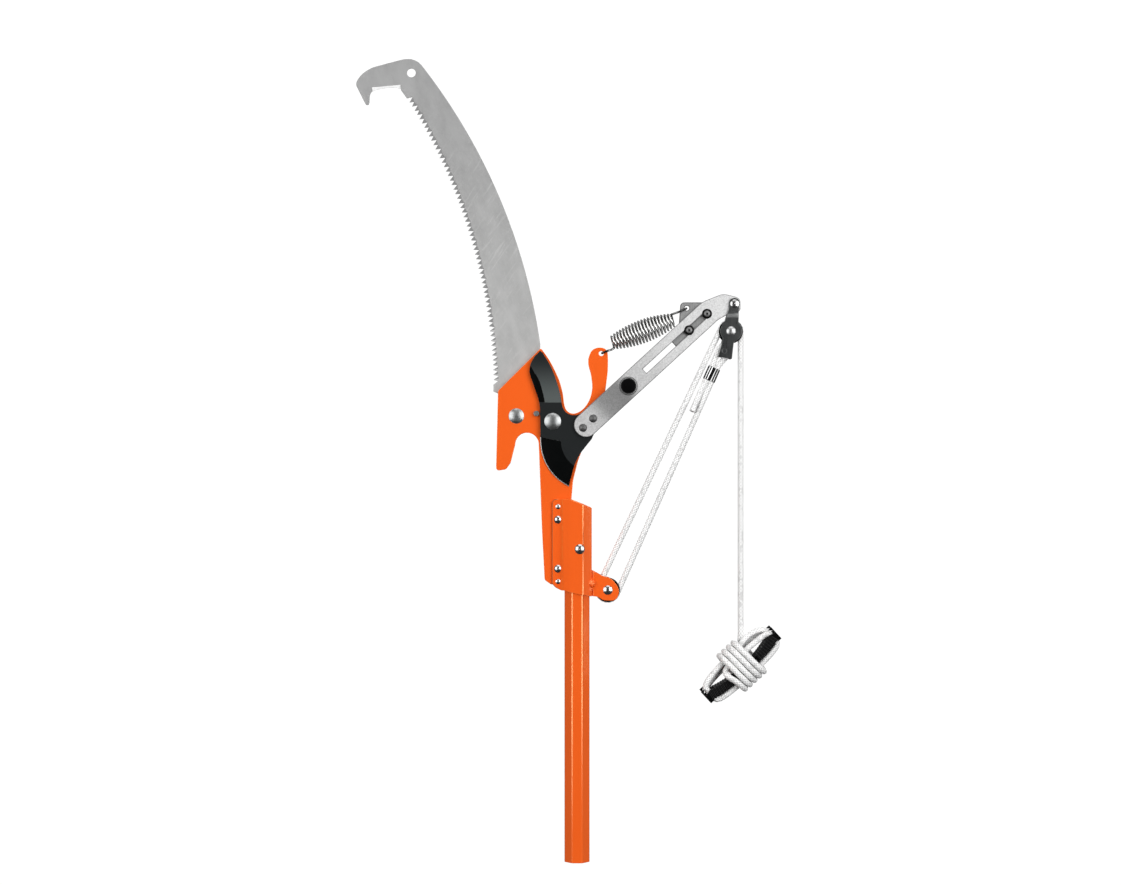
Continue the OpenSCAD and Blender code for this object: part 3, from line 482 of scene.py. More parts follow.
@dataclass(frozen=True)
class ScrewHead(Finish):
    """Dark screw heads: a black rim, a painted highlight in a band inside it and a dark dimple."""

    centres: tuple[tuple[float, float], ...]
    radius: float
    black: Colour = (0.008, 0.008, 0.008)
    highlight_colour: Colour = (0.2, 0.2, 0.2)
    highlight_band: tuple[float, float, float, float] = (0.14, 0.3, 0.5, 0.66)

    def shade(self, g: Shader) -> None:
        """Builds the heads' nodes.

        Args:
            g: The material\'s graph.
        """
        at = g.object_coords()
        x, _, z = g.axes(at)
        nearest: Value | None = None
        for across, up in self.centres:
            right, above = x / MM - across, z / MM - up
            away = (right * right + above * above) ** 0.5
            nearest = away if nearest is None else nearest.math("MINIMUM", away)
        share = nearest / self.radius
        start, full, last, end = self.highlight_band
        # painted highlight: a band round each head's centre is lightened
        highlight_band = g.between(share, start, full) * g.between(share, end, last)
        grain = g.noise(at, 900, 3)
        g.surface(
            {
                "Base Color": g.mix(highlight_band * (0.55 + 0.6 * grain), self.black, self.highlight_colour),
                "Roughness": 0.36 + 0.16 * grain,
                "Metallic": 0.6,
                "Specular IOR Level": 0.2,
                "Normal": g.bump(grain, FINE_GRAIN),
            }
        )


@dataclass(frozen=True)
class ArmSteel(Finish):
    """Satin arm steel whose brushed face brightens from the foot to the tip, with painted shade along its
    rounded edges.
    """

    foot: tuple[float, float] = (9.0, 436.0)
    angle: float = 42.6
    tones: tuple[tuple[float, float], ...] = (
        (9.0, 0.55),
        (30.0, 0.25),
        (48.0, 0.215),
        (66.0, 0.55),
        (120.0, 0.65),
        (190.0, 0.67),
    )
    wear_and_painted_edge_light: Colour = (0.14, 0.14, 0.14)

    def shade(self, g: Shader) -> None:
        """Builds the arm's nodes.

        Args:
            g: The material\'s graph.
        """
        at = g.object_coords()
        turn = math.radians(self.angle)
        x, _, z = g.axes(at)
        run = (x / MM - self.foot[0]) * math.cos(turn) + (z / MM - self.foot[1]) * math.sin(turn)
        lines = g.noise(g.mapped(at, self.angle - 90, (2600.0, 900.0, 110.0)), 1.0, 3)
        patch = g.noise(at, 60, 5, 0.68)
        level = self.tones[0][1]
        for (start, low), (end, high) in zip(self.tones, self.tones[1:]):
            level = level + g.between(run, start, end) * (high - low)
        speck = g.between(g.noise(at, 820, 4, 0.7), 0.3, 0.7)
        level = level * (0.7 + 0.16 * patch + 0.1 * lines + 0.34 * speck)
        tone = g.node("ShaderNodeCombineColor", sockets={0: level, 1: level, 2: level})
        g.surface(
            {
                # painted shade: the arm's rounded edges are darkened
                "Base Color": g.mix(g.edge() * 0.8, tone, self.wear_and_painted_edge_light),
                "Roughness": 0.34 + 0.12 * patch + 0.08 * lines,
                "Metallic": 0.4,
                "Normal": g.bump(lines, FINE_GRAIN),
            }
        )


@dataclass(frozen=True)
class SawSteel(Finish):
    """Satin saw steel, greyer towards the tip, with ground teeth whose lower flanks carry a painted
    highlight and upper flanks painted shade, and a painted highlight on the hook's bevel.
    """

    tip: Colour = (0.36, 0.36, 0.36)
    root: Colour = (0.49, 0.49, 0.485)
    # colour of scratch and fleck glints, and of the painted highlight on each tooth's lower flank
    ground: Colour = (0.56, 0.56, 0.555)
    # painted shade on each tooth's upper flank
    shade_side: Colour = (0.2, 0.2, 0.2)
    # painted highlight on the hook's bevel, white and not metallic
    bevel: Colour = (0.95, 0.95, 0.95)
    lean: float = 17.0
    scratch_lean: float = -34.0

    def shade(self, g: Shader) -> None:
        """Builds the saw's nodes.

        Args:
            g: The material\'s graph.
        """
        at = g.object_coords()
        _, _, height = g.axes(at)
        lines = g.noise(g.mapped(at, self.lean, (2300.0, 900.0, 130.0)), 1.0, 4, 0.6)
        patch = g.noise(g.mapped(at, self.lean, (70.0, 70.0, 32.0)), 1.0, 6, 0.7)
        flecks = g.noise(g.mapped(at, self.lean, (620.0, 500.0, 210.0)), 1.0, 4)
        fleck = g.between(flecks, 0.55, 0.72)
        scratch = g.noise(g.mapped(at, self.scratch_lean, (520.0, 300.0, 40.0)), 1.0, 4, 0.6)
        used = g.between(height, 0.8, 0.62)
        tone = g.mix(g.between(height, 0.78, 0.46), self.tip, self.root)
        shaded = g.mix(g.between(patch, 0.25, 0.75), g.scaled(tone, 0.84), tone)
        glint = fleck * 0.18 + g.between(scratch, 0.56, 0.72) * 0.4
        bright = g.mix(used * glint + g.between(lines, 0.5, 0.8) * 0.08, shaded, self.ground)
        mark = g.edge()
        # painted highlight on the lower flanks, painted shade on the upper flanks, painted highlight on the
        # hook's bevel
        toothed = g.mix(g.between(mark, 0.0, 1.0) * 0.8, bright, self.ground)
        toothed = g.mix(g.between(mark, 0.0, -1.0) * 0.8, toothed, self.shade_side)
        bevel = g.between(mark, 1.0, 2.0)
        g.surface(
            {
                "Base Color": g.mix(bevel, toothed, self.bevel),
                "Roughness": 0.4 + 0.14 * patch + 0.08 * lines - 0.08 * fleck,
                "Metallic": 0.5 - 0.5 * bevel,
                "Normal": g.bump(lines + 0.6 * fleck, FINE_GRAIN),
            }
        )


@dataclass(frozen=True)
class CutterSteel(Finish):
    """Black coated cutter: painted light on the upper part of its tail, fading upwards from its crease, a
    blacker grind and a bare cutting edge.
    """

    coat: Colour = (0.016, 0.018, 0.0185)
    # colour of the painted light on the tail's upper part
    painted_tail_light: Colour = (0.088, 0.1, 0.098)
    grind: Colour = (0.0012, 0.0016, 0.0016)
    bare: Colour = (0.42, 0.43, 0.42)
    edge_centre: tuple[float, float] = (14.7, 420.5)
    edge_r: float = 51.5
    panel_foot: float = 458.4
    front_y: float = -6.3
    grind_top: float = 424.4

    def shade(self, g: Shader) -> None:
        """Builds the cutter's nodes.

        Args:
            g: The material\'s graph.
        """
        at = g.object_coords()
        x, y, z = g.axes(at)
        across = x / MM - self.edge_centre[0]
        up = z / MM - self.edge_centre[1]
        radius = (across * across + up * up) ** 0.5
        deep = (y / MM) > (self.front_y + 0.12)
        tail = (z / MM) > self.panel_foot
        in_grind = deep * ((z / MM) < self.grind_top)
        scuff = g.noise(at, 240, 5, 0.65)
        fine = g.noise(at, 2400, 2)
        cloud = g.between(g.noise(at, 30, 3), 0.3, 0.7)
        # painted light: the tail's upper part is lightened, most at its crease and less towards the top
        painted_tail_light = g.mix(g.between(z / MM, 505.0, self.panel_foot), self.coat, self.painted_tail_light)
        coat = g.mix(tail * (1 - deep), self.coat, painted_tail_light)
        coat = g.mix(deep, coat, self.grind)
        bare = in_grind * g.between(radius + 0.5 * scuff, self.edge_r - 0.75, self.edge_r - 0.45)
        rub = g.edge() * g.between(scuff, 0.45, 0.7) * 0.25
        colour = g.mix((bare + rub).math("MINIMUM", 1.0), coat, self.bare)
        g.surface(
            {
                "Base Color": colour,
                "Roughness": 0.36 + 0.14 * cloud + 0.1 * fine - 0.1 * bare,
                "Metallic": bare * 0.9,
                "Specular IOR Level": 0.035,
                "Normal": g.bump(fine + scuff, FINE_GRAIN),
            }
        )


@dataclass(frozen=True)
class ZincPlate(Finish):
    """Zinc plate with a faint crystal mottle."""

    light: Colour
    grey: Colour
    rough: float

    def shade(self, g: Shader) -> None:
        """Builds the plating's nodes.

        Args:
            g: The material\'s graph.
        """
        at = g.object_coords()
        grain = g.noise(at, 420, 4, 0.65)
        fine = g.noise(at, 2600, 2)
        tone = g.mix(g.between(grain, 0.3, 0.7), self.grey, self.light)
        g.surface(
            {
                "Base Color": tone,
                "Roughness": self.rough * (0.75 + 0.4 * grain + 0.1 * fine),
                "Metallic": 1.0,
                "Normal": g.bump(grain + 0.3 * fine, FINE_GRAIN),
            }
        )


@dataclass(frozen=True)
class SleeveMetal(Finish):
    """Pressed sleeve with a painted reflection: bright stripes along its two barrels, dark stripes between
    them.
    """

    # colours of the painted reflection: bright on the barrels, dark between them
    crown: Colour = (0.42, 0.42, 0.42)
    valley: Colour = (0.012, 0.012, 0.012)
    at: tuple[float, float] = (134.0, 486.5)
    angle: float = 64.5
    half_width: float = 6.1
    stripes: tuple[float, float] = (0.35, 0.4)
    middle: tuple[float, float] = (0.12, 0.24)

    def shade(self, g: Shader) -> None:
        """Builds the sleeve's nodes.

        Args:
            g: The material\'s graph.
        """
        place = g.object_coords()
        x, _, z = g.axes(place)
        turn = math.radians(self.angle)
        across = (x / MM - self.at[0]) * math.sin(turn) - (z / MM - self.at[1]) * math.cos(turn)
        off = (across / self.half_width).math("ABSOLUTE")
        first, step = self.stripes
        wave = ((off - first) * (math.tau / step)).math("COSINE")
        bright = g.between(wave, -0.35, 0.55) * g.between(off, *self.middle)
        grain = g.noise(place, 900, 3)
        g.surface(
            {
                # painted reflection stripes along the sleeve
                "Base Color": g.mix(bright, self.valley, self.crown),
                "Roughness": 0.16 + 0.1 * grain,
                "Metallic": 1.0,
                "Normal": g.bump(grain, 0.00002),
            }
        )


@dataclass(frozen=True)
class MouldedPlastic(Finish):
    """Matte black moulded plastic with a fine spark-eroded grain and a painted highlight on its rounded
    edges.
    """

    body: Colour = (0.0011, 0.0011, 0.0012)
    dusty: Colour = (0.005, 0.005, 0.0055)
    wear_and_edge_highlight: Colour = (0.03, 0.03, 0.031)

    def shade(self, g: Shader) -> None:
        """Builds the plastic's nodes.

        Args:
            g: The material\'s graph.
        """
        at = g.object_coords()
        grain = g.noise(at, 2100, 2)
        dust = g.between(g.noise(at, 85, 4), 0.45, 0.75)
        body = g.mix(dust * 0.5, self.body, self.dusty)
        g.surface(
            {
                # painted highlight: the rounded edges of the ribs are lightened
                "Base Color": g.mix(g.edge() * 0.85, body, self.wear_and_edge_highlight),
                "Roughness": 0.46 + 0.16 * grain + 0.1 * dust,
                "Specular IOR Level": 0.035,
                "Normal": g.bump(grain, 0.00006),
            }
        )


@dataclass(frozen=True)
class Braid:
    """The braid that the rope's mesh and its material share."""

    strands: int = 6
    lead: float = 20.0
    depth: float = 0.22
    level: float = 0.6

    def cells(self, around: Value, along: Value) -> tuple[Value, Value]:
        """Lays the two families of helices.

        Args:
            around: The share of a turn round the rope.
            along: The length along the rope, in leads.

        Returns:
            The phase of each family, a whole number at each valley.
        """
        return (around + along) * self.strands, (around - along) * self.strands

    @staticmethod
    def crown(first: Value, second: Value) -> Value:
        """Works out the height of a braid cell.

        Args:
            first: The phase of the first family of helices.
            second: The phase of the second.

        Returns:
            The height, from 0 in the valleys to 1.
        """
        one = first.math("FRACT") - 0.5
        two = second.math("FRACT") - 0.5
        return (1 - 4 * one * one) * (1 - 4 * two * two)


@dataclass(frozen=True)
class BraidedCord(Finish):
    """White braided cord: yarn lines on each strand, grey flecks and shaded valleys."""

    braid: Braid
    white: Colour = (0.96, 0.96, 0.955)
    valley: Colour = (0.45, 0.45, 0.45)
    fleck: Colour = (0.34, 0.34, 0.34)
    yarns: float = 5.0

    def shade(self, g: Shader) -> None:
        """Builds the cord's nodes.

        Args:
            g: The material\'s graph.
        """
        around, along, _ = g.axes(g.node("ShaderNodeTexCoord", out="UV"))
        first, second = self.braid.cells(around, along)
        low_one, low_two = first.math("FLOOR"), second.math("FLOOR")
        crown = self.braid.crown(first, second)
        over = ((low_one + low_two) * 0.5).math("FRACT") > 0.25
        yarn_one = (first * self.yarns * math.tau).math("SINE")
        yarn_two = (second * self.yarns * math.tau).math("SINE")
        yarn = over * yarn_one + (1 - over) * yarn_two
        turn = (low_one + low_two).math("FLOORED_MODULO", 2.0 * self.braid.strands)
        cell = g.node("ShaderNodeCombineXYZ", sockets={0: low_one - low_two, 1: turn})
        chance = g.node("ShaderNodeTexWhiteNoise", {"noise_dimensions": "2D"}, {"Vector": cell})
        grey = (chance > 0.87) * g.between(crown, 0.05, 0.35)
        colour = g.mix(g.between(crown, 0.0, 0.32), self.valley, self.white)
        g.surface(
            {
                "Base Color": g.mix(grey * 0.35, colour, self.fleck),
                "Roughness": 0.62 + 0.12 * yarn,
                "Normal": g.bump(crown + 0.12 * yarn, 0.00022, 0.8),
            }
        )


BRAID = Braid()
FINISHES: dict[Slot, Finish] = {
    Slot.ORANGE_PAINT: PowderCoat(Slot.ORANGE_PAINT),
    Slot.ZINC_PLATE: ZincPlate(
        Slot.ZINC_PLATE, light=(0.38, 0.39, 0.39), grey=(0.27, 0.28, 0.28), rough=0.33
    ),
    Slot.BRIGHT_ZINC: ZincPlate(
        Slot.BRIGHT_ZINC, light=(0.50, 0.50, 0.495), grey=(0.38, 0.38, 0.38), rough=0.2
    ),
    Slot.SAW_STEEL: SawSteel(Slot.SAW_STEEL),
    Slot.BLACK_STEEL: CutterSteel(Slot.BLACK_STEEL),
    Slot.ARM_STEEL: ArmSteel(Slot.ARM_STEEL),
    Slot.DARK_STEEL: BrushedSteel(
        Slot.DARK_STEEL,
        dark=(0.075, 0.075, 0.075),
        light=(0.13, 0.13, 0.13),
        wear_and_painted_edge_light=(0.42, 0.42, 0.42),
        line_scale=(900.0, 900.0, 900.0),
    ),
    Slot.STRAP_STEEL: StrapSteel(
        Slot.STRAP_STEEL,
        dark=(0.08, 0.083, 0.083),
        light=(0.11, 0.113, 0.113),
        wear_and_painted_edge_light=(0.2, 0.205, 0.205),
        rough=0.2,
        metal=1.0,
    ),
    Slot.SPRING_WIRE: SpringWire(
        Slot.SPRING_WIRE,
        dark=(0.22, 0.22, 0.215),
        light=(0.36, 0.36, 0.355),
        # painted highlight on the wire's crowns
        wear_and_painted_edge_light=(0.95, 0.95, 0.94),
        rough=0.12,
        line_scale=(1800.0, 1800.0, 1800.0),
        metal=1.0,
    ),
    Slot.ROPE: BraidedCord(Slot.ROPE, BRAID),
    Slot.BLACK_PLASTIC: MouldedPlastic(Slot.BLACK_PLASTIC),
}
FLANGE_COAT = FlangeCoat(Slot.ORANGE_PAINT, variant="_flange")
SATIN_HEAD = ZincPlate(
    Slot.BRIGHT_ZINC,
    light=(0.48, 0.48, 0.48),
    grey=(0.36, 0.36, 0.36),
    rough=0.34,
    variant="_satin",
)
SLEEVE_METAL = SleeveMetal(Slot.BRIGHT_ZINC, variant="_sleeve")
ANCHOR_STEEL = BrushedSteel(
    Slot.DARK_STEEL,
    dark=(0.22, 0.22, 0.22),
    light=(0.34, 0.34, 0.34),
    # painted shadow along the anchor's rounded edges
    wear_and_painted_edge_light=(0.02, 0.02, 0.02),
    rough=0.4,
    metal=0.6,
    variant="_plate",
)
ANCHOR_HEADS = ScrewHead(
    Slot.DARK_STEEL, ((111.6, 530.4), (129.4, 546.7)), 5.1, variant="_screw"
)


@dataclass
class Frame:
    """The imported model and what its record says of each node."""

    nodes: dict[str, bpy.types.Object]
    body_of: dict[str, str]
    slot_of: dict[str, Slot]
    box: list[list[float]]

    @classmethod
    def load(cls) -> Frame:
        """Loads the frame.

        Returns:
            The frame, with the CAD model's box as it is at that moment.
        """
        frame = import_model()
        low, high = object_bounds()
        record = frame["record"]
        bodies = record["behaviour"]["bodies"]
        return cls(
            nodes=frame["nodes"],
            body_of={node: body for body, nodes in bodies.items() for node in nodes},
            slot_of={row["node"]: Slot(row["material_slot"]) for row in record["subparts"]},
            box=[list(low), list(high)],
        )

    def add(self, piece: bpy.types.Object, *nodes: str) -> bpy.types.Object:
        """Gives a piece its finish and lets it stand for CAD nodes.

        Args:
            piece: The new piece.
            nodes: The nodes that it replaces; the first one gives its slot.

        Returns:
            The piece.
        """
        slot = self.slot_of[nodes[0]]
        piece.data.materials.clear()
        piece.data.materials.append(FINISHES[slot].material())
        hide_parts(*nodes)
        return piece


def new_object(name: str, data: bpy.types.ID) -> bpy.types.Object:
    """Makes an object at the origin.

    Args:
        name: Its name.
        data: What it holds.

    Returns:
        The object, which is in the scene.
    """
    made = bpy.data.objects.new(name, data)
    bpy.context.scene.collection.objects.link(made)
    return made


def bake(piece: bpy.types.Object) -> None:
    """Turns a piece's modifiers into its own plain mesh.

    Args:
        piece: The piece.
    """
    graph = bpy.context.evaluated_depsgraph_get()
    made = bpy.data.meshes.new_from_object(
        piece.evaluated_get(graph), preserve_all_data_layers=True, depsgraph=graph
    )
    piece.modifiers.clear()
    piece.data = made


def in_metres(point: Sequence[float]) -> tuple[float, ...]:
    """Returns a point in metres from a point in millimetres."""
    return tuple(float(part) * MM for part in point)


class SweptLine:
    """A Geometry Nodes tree that sweeps a round section, braided or plain, along a line."""

    SIZES = (
        ("Radius", "NodeSocketFloat"),
        ("Sides", "NodeSocketInt"),
        ("Step", "NodeSocketFloat"),
        ("Braid Depth", "NodeSocketFloat"),
        ("Lead", "NodeSocketFloat"),
        ("Finish", "NodeSocketMaterial"),
    )

    def __init__(self) -> None:
        """Builds the tree once for all lines."""
        self.tree = bpy.data.node_groups.new("swept_line", "GeometryNodeTree")
        face = self.tree.interface
        face.new_socket("Geometry", in_out="INPUT", socket_type="NodeSocketGeometry")
        self.keys = {
            name: face.new_socket(name, in_out="INPUT", socket_type=kind).identifier
            for name, kind in self.SIZES
        }
        face.new_socket("Geometry", in_out="OUTPUT", socket_type="NodeSocketGeometry")
        self._fill(Graph(self.tree))

    def _fill(self, g: Graph) -> None:
        """Adds the nodes, from the bare line to the finished mesh.

        Args:
            g: The tree's graph.
        """
        source = g.node("NodeGroupInput").socket.node.outputs
        size = {out.name: Value(g, out) for out in source if out.name}
        tube = g.node(
            "GeometryNodeCurveToMesh",
            sockets={"Curve": self._path(g, size), "Profile Curve": self._section(g, size)},
        )
        tube = self._braided(g, size, tube)
        tube = g.node(
            "GeometryNodeMergeByDistance", sockets={"Geometry": tube, "Distance": MERGE_DISTANCE}
        )
        tube = g.node("GeometryNodeSetShadeSmooth", sockets={"Geometry": tube})
        tube = g.node("GeometryNodeRealizeInstances", sockets={"Geometry": tube})
        tube = g.node(
            "GeometryNodeSetMaterial", sockets={"Geometry": tube, "Material": size["Finish"]}
        )
        end = g.tree.nodes.new("NodeGroupOutput")
        g.tree.links.new(tube.socket, end.inputs[0])

    def _path(self, g: Graph, size: Mapping[str, Value]) -> Value:
        """Smooths the bare line and divides it into even steps.

        Args:
            g: The tree's graph.
            size: The tree's inputs.

        Returns:
            The line, which carries its length in leads and its own place.
        """
        line = g.node("GeometryNodeMeshToCurve", sockets={"Mesh": size["Geometry"]})
        line = g.node(
            "GeometryNodeCurveSplineType", {"spline_type": "CATMULL_ROM"}, {"Curve": line}
        )
        line = g.node(
            "GeometryNodeResampleCurve",
            {"mode": "LENGTH"},
            {"Curve": line, "Length": size["Step"]},
        )
        along = g.node("GeometryNodeSplineParameter", out="Length") / size["Lead"]
        line = self._store(g, line, "along", "FLOAT", "POINT", along)
        place = g.node("GeometryNodeInputPosition")
        return self._store(g, line, "centre", "FLOAT_VECTOR", "POINT", place)

    def _section(self, g: Graph, size: Mapping[str, Value]) -> Value:
        """Draws the round section.

        Args:
            g: The tree's graph.
            size: The tree's inputs.

        Returns:
            The section, which carries the share of a turn round it.
        """
        section = g.node(
            "GeometryNodeCurveArc",
            sockets={
                "Resolution": size["Sides"] + 1,
                "Radius": size["Radius"],
                "Start Angle": 0.0,
                "Sweep Angle": math.tau,
            },
        )
        turn = g.node("GeometryNodeSplineParameter", out="Factor")
        return self._store(g, section, "around", "FLOAT", "POINT", turn)

    def _braided(self, g: Graph, size: Mapping[str, Value], tube: Value) -> Value:
        """Raises the braid's strands and maps them.

        Args:
            g: The tree's graph.
            size: The tree's inputs.
            tube: The plain tube.

        Returns:
            The braided tube with its UV map.
        """
        around = self._read(g, "around", "FLOAT")
        along = self._read(g, "along", "FLOAT")
        crown = BRAID.crown(*BRAID.cells(around, along))
        centre = self._read(g, "centre", "FLOAT_VECTOR")
        off = g.vector("SUBTRACT", g.node("GeometryNodeInputPosition"), centre)
        rise = (crown - BRAID.level) * size["Braid Depth"]
        offset = g.scaled(g.vector("NORMALIZE", off), rise)
        tube = g.node("GeometryNodeSetPosition", sockets={"Geometry": tube, "Offset": offset})
        uv = g.node("ShaderNodeCombineXYZ", sockets={0: around, 1: along})
        return self._store(g, tube, "UVMap", "FLOAT2", "CORNER", uv)

    @staticmethod
    def _store(g: Graph, geometry: Value, name: str, kind: str, domain: str, value: Value) -> Value:
        """Stores a value on the geometry under a name."""
        return g.node(
            "GeometryNodeStoreNamedAttribute",
            {"data_type": kind, "domain": domain},
            {"Geometry": geometry, "Name": name, "Value": value},
        )

    @staticmethod
    def _read(g: Graph, name: str, kind: str) -> Value:
        """Reads a stored value."""
        return g.node("GeometryNodeInputNamedAttribute", {"data_type": kind}, {"Name": name})

    def make(
        self,
        name: str,
        line: Sequence[Sequence[float]],
        radius: float,
        sides: int,
        step: float,
        finish: Finish,
        braid_depth: float = 0.0,
    ) -> bpy.types.Object:
        """Sweeps one line into a plain closed mesh.

        Args:
            name: The piece's name.
            line: The points of its centreline, in millimetres.
            radius: The section's radius in millimetres.
            sides: Faces round the section.
            step: Length of a face along the line, in millimetres.
            finish: The finish of the mesh.
            braid_depth: Height of the braid in millimetres, 0 for a plain wire.

        Returns:
            The new piece, with no modifier left on it.
        """
        bare = bpy.data.meshes.new(name)
        points = [in_metres(point) for point in line]
        bare.from_pydata(points, [(i, i + 1) for i in range(len(line) - 1)], [])
        piece = new_object(name, bare)
        modifier = piece.modifiers.new("sweep", "NODES")
        modifier.node_group = self.tree
        values = {
            "Radius": radius * MM,
            "Sides": sides,
            "Step": step * MM,
            "Braid Depth": braid_depth * MM,
            "Lead": BRAID.lead * MM,
            "Finish": finish.material(),
        }
        for key, value in values.items():
            modifier[self.keys[key]] = value
        bake(piece)
        for spare in ("along", "around", "centre"):
            if spare in piece.data.attributes:
                piece.data.attributes.remove(piece.data.attributes[spare])
        self._close(piece.data)
        return piece

    @staticmethod
    def _close(mesh: bpy.types.Mesh) -> None:
        """Closes the two ends of a tube and turns its faces outwards.

        Args:
            mesh: The tube's mesh.
        """
        bm = bmesh.new()
        bm.from_mesh(mesh)
        bmesh.ops.holes_fill(bm, edges=[e for e in bm.edges if e.is_boundary], sides=0)
        bmesh.ops.recalc_face_normals(bm, faces=bm.faces)
        bm.to_mesh(mesh)
        bm.free()


@dataclass
class Softener:
    """Copies CAD nodes with merged, rounded and smoothed edges."""

    frame: Frame
    sharp: float = 30.0
    flat: float = 0.5
    flat_weight: int = 90

    def copy(
        self,
        node: str,
        width: float,
        segments: int = 3,
        shape: Callable[[bmesh.types.BMesh], None] | None = None,
        outer_only: bool = False,
        finish: Finish | None = None,
    ) -> bpy.types.Object:
        """Makes the finished piece of one CAD node.

        Args:
            node: The node's name.
            width: Width of the rounding on its edges, in millimetres.
            segments: Faces across a rounding.
            shape: A change of the bare mesh before its edges are rounded.
            outer_only: Whether inner corners stay as they are.
            finish: Its own finish, where it isn't its slot's.

        Returns:
            The piece, which rides on the node's body in its place.
        """
        bm = bmesh.new()
        bm.from_mesh(self.frame.nodes[node].data)
        bmesh.ops.remove_doubles(bm, verts=bm.verts, dist=MERGE_DISTANCE)
        limit = math.radians(self.flat)
        bmesh.ops.dissolve_limit(bm, angle_limit=limit, verts=bm.verts, edges=bm.edges)
        layer = bm.faces.layers.float.new("edge")
        if shape:
            shape(bm)
        edges = [e for e in self._sharp(bm) if e.is_convex or not outer_only]
        self._round(bm, edges, width, segments, layer)
        mesh = bpy.data.meshes.new(f"{node}_finished")
        bm.to_mesh(mesh)
        bm.free()
        mesh.polygons.foreach_set("use_smooth", [True] * len(mesh.polygons))
        mesh.set_sharp_from_angle(angle=math.radians(self.sharp))
        piece = new_object(mesh.name, mesh)
        self._weigh_normals(piece)
        self.frame.add(piece, node)
        if finish:
            piece.data.materials[0] = finish.material()
        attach(piece, self.frame.body_of[node])
        log.info("%s: %d faces", piece.name, len(mesh.polygons))
        return piece

    def _weigh_normals(self, piece: bpy.types.Object) -> None:
        """Keeps large flats flat under smooth shading.

        Args:
            piece: The piece.
        """
        weigh = piece.modifiers.new("weigh", "WEIGHTED_NORMAL")
        weigh.mode = "FACE_AREA"
        weigh.weight = self.flat_weight
        weigh.keep_sharp = True
        bake(piece)

    def _sharp(self, bm: bmesh.types.BMesh) -> list[bmesh.types.BMEdge]:
        """Returns the edges that turn by more than the sharp angle."""
        limit = math.radians(self.sharp)
        return [e for e in bm.edges if e.is_manifold and e.calc_face_angle(0.0) > limit]

    @staticmethod
    def _round(
        bm: bmesh.types.BMesh,
        edges: list[bmesh.types.BMEdge],
        width: float,
        segments: int,
        layer: bmesh.types.BMLayerItem,
    ) -> None:
        """Rounds edges and marks the new faces.

        Args:
            bm: The mesh.
            edges: Its edges to round.
            width: Width of the rounding, in millimetres.
            segments: Faces across it.
            layer: The layer that the new faces are marked in.
        """
        if not edges or width <= 0:
            return
        done = bmesh.ops.bevel(
            bm,
            geom=edges,
            offset=width * MM,
            offset_type="OFFSET",
            segments=segments,
            profile=0.5,
            affect="EDGES",
            clamp_overlap=False,
        )
        for face in done["faces"]:
            face[layer] = 1.0


def lower_heads(seat: float, keep: float) -> Callable[[bmesh.types.BMesh], None]:
    """Returns a change of a mesh that makes its domed heads flatter.

    Args:
        seat: Depth of the face that the heads sit on, in millimetres.
        keep: Share of the heads' height that stays.

    Returns:
        The change.
    """

    def lower(bm: bmesh.types.BMesh) -> None:
        """Lowers what stands in front of the seat.

        Args:
            bm: The mesh.
        """
        for vert in bm.verts:
            out = vert.co.y / MM - seat
            if out < 0:
                vert.co.y = (seat + out * keep) * MM

    return lower


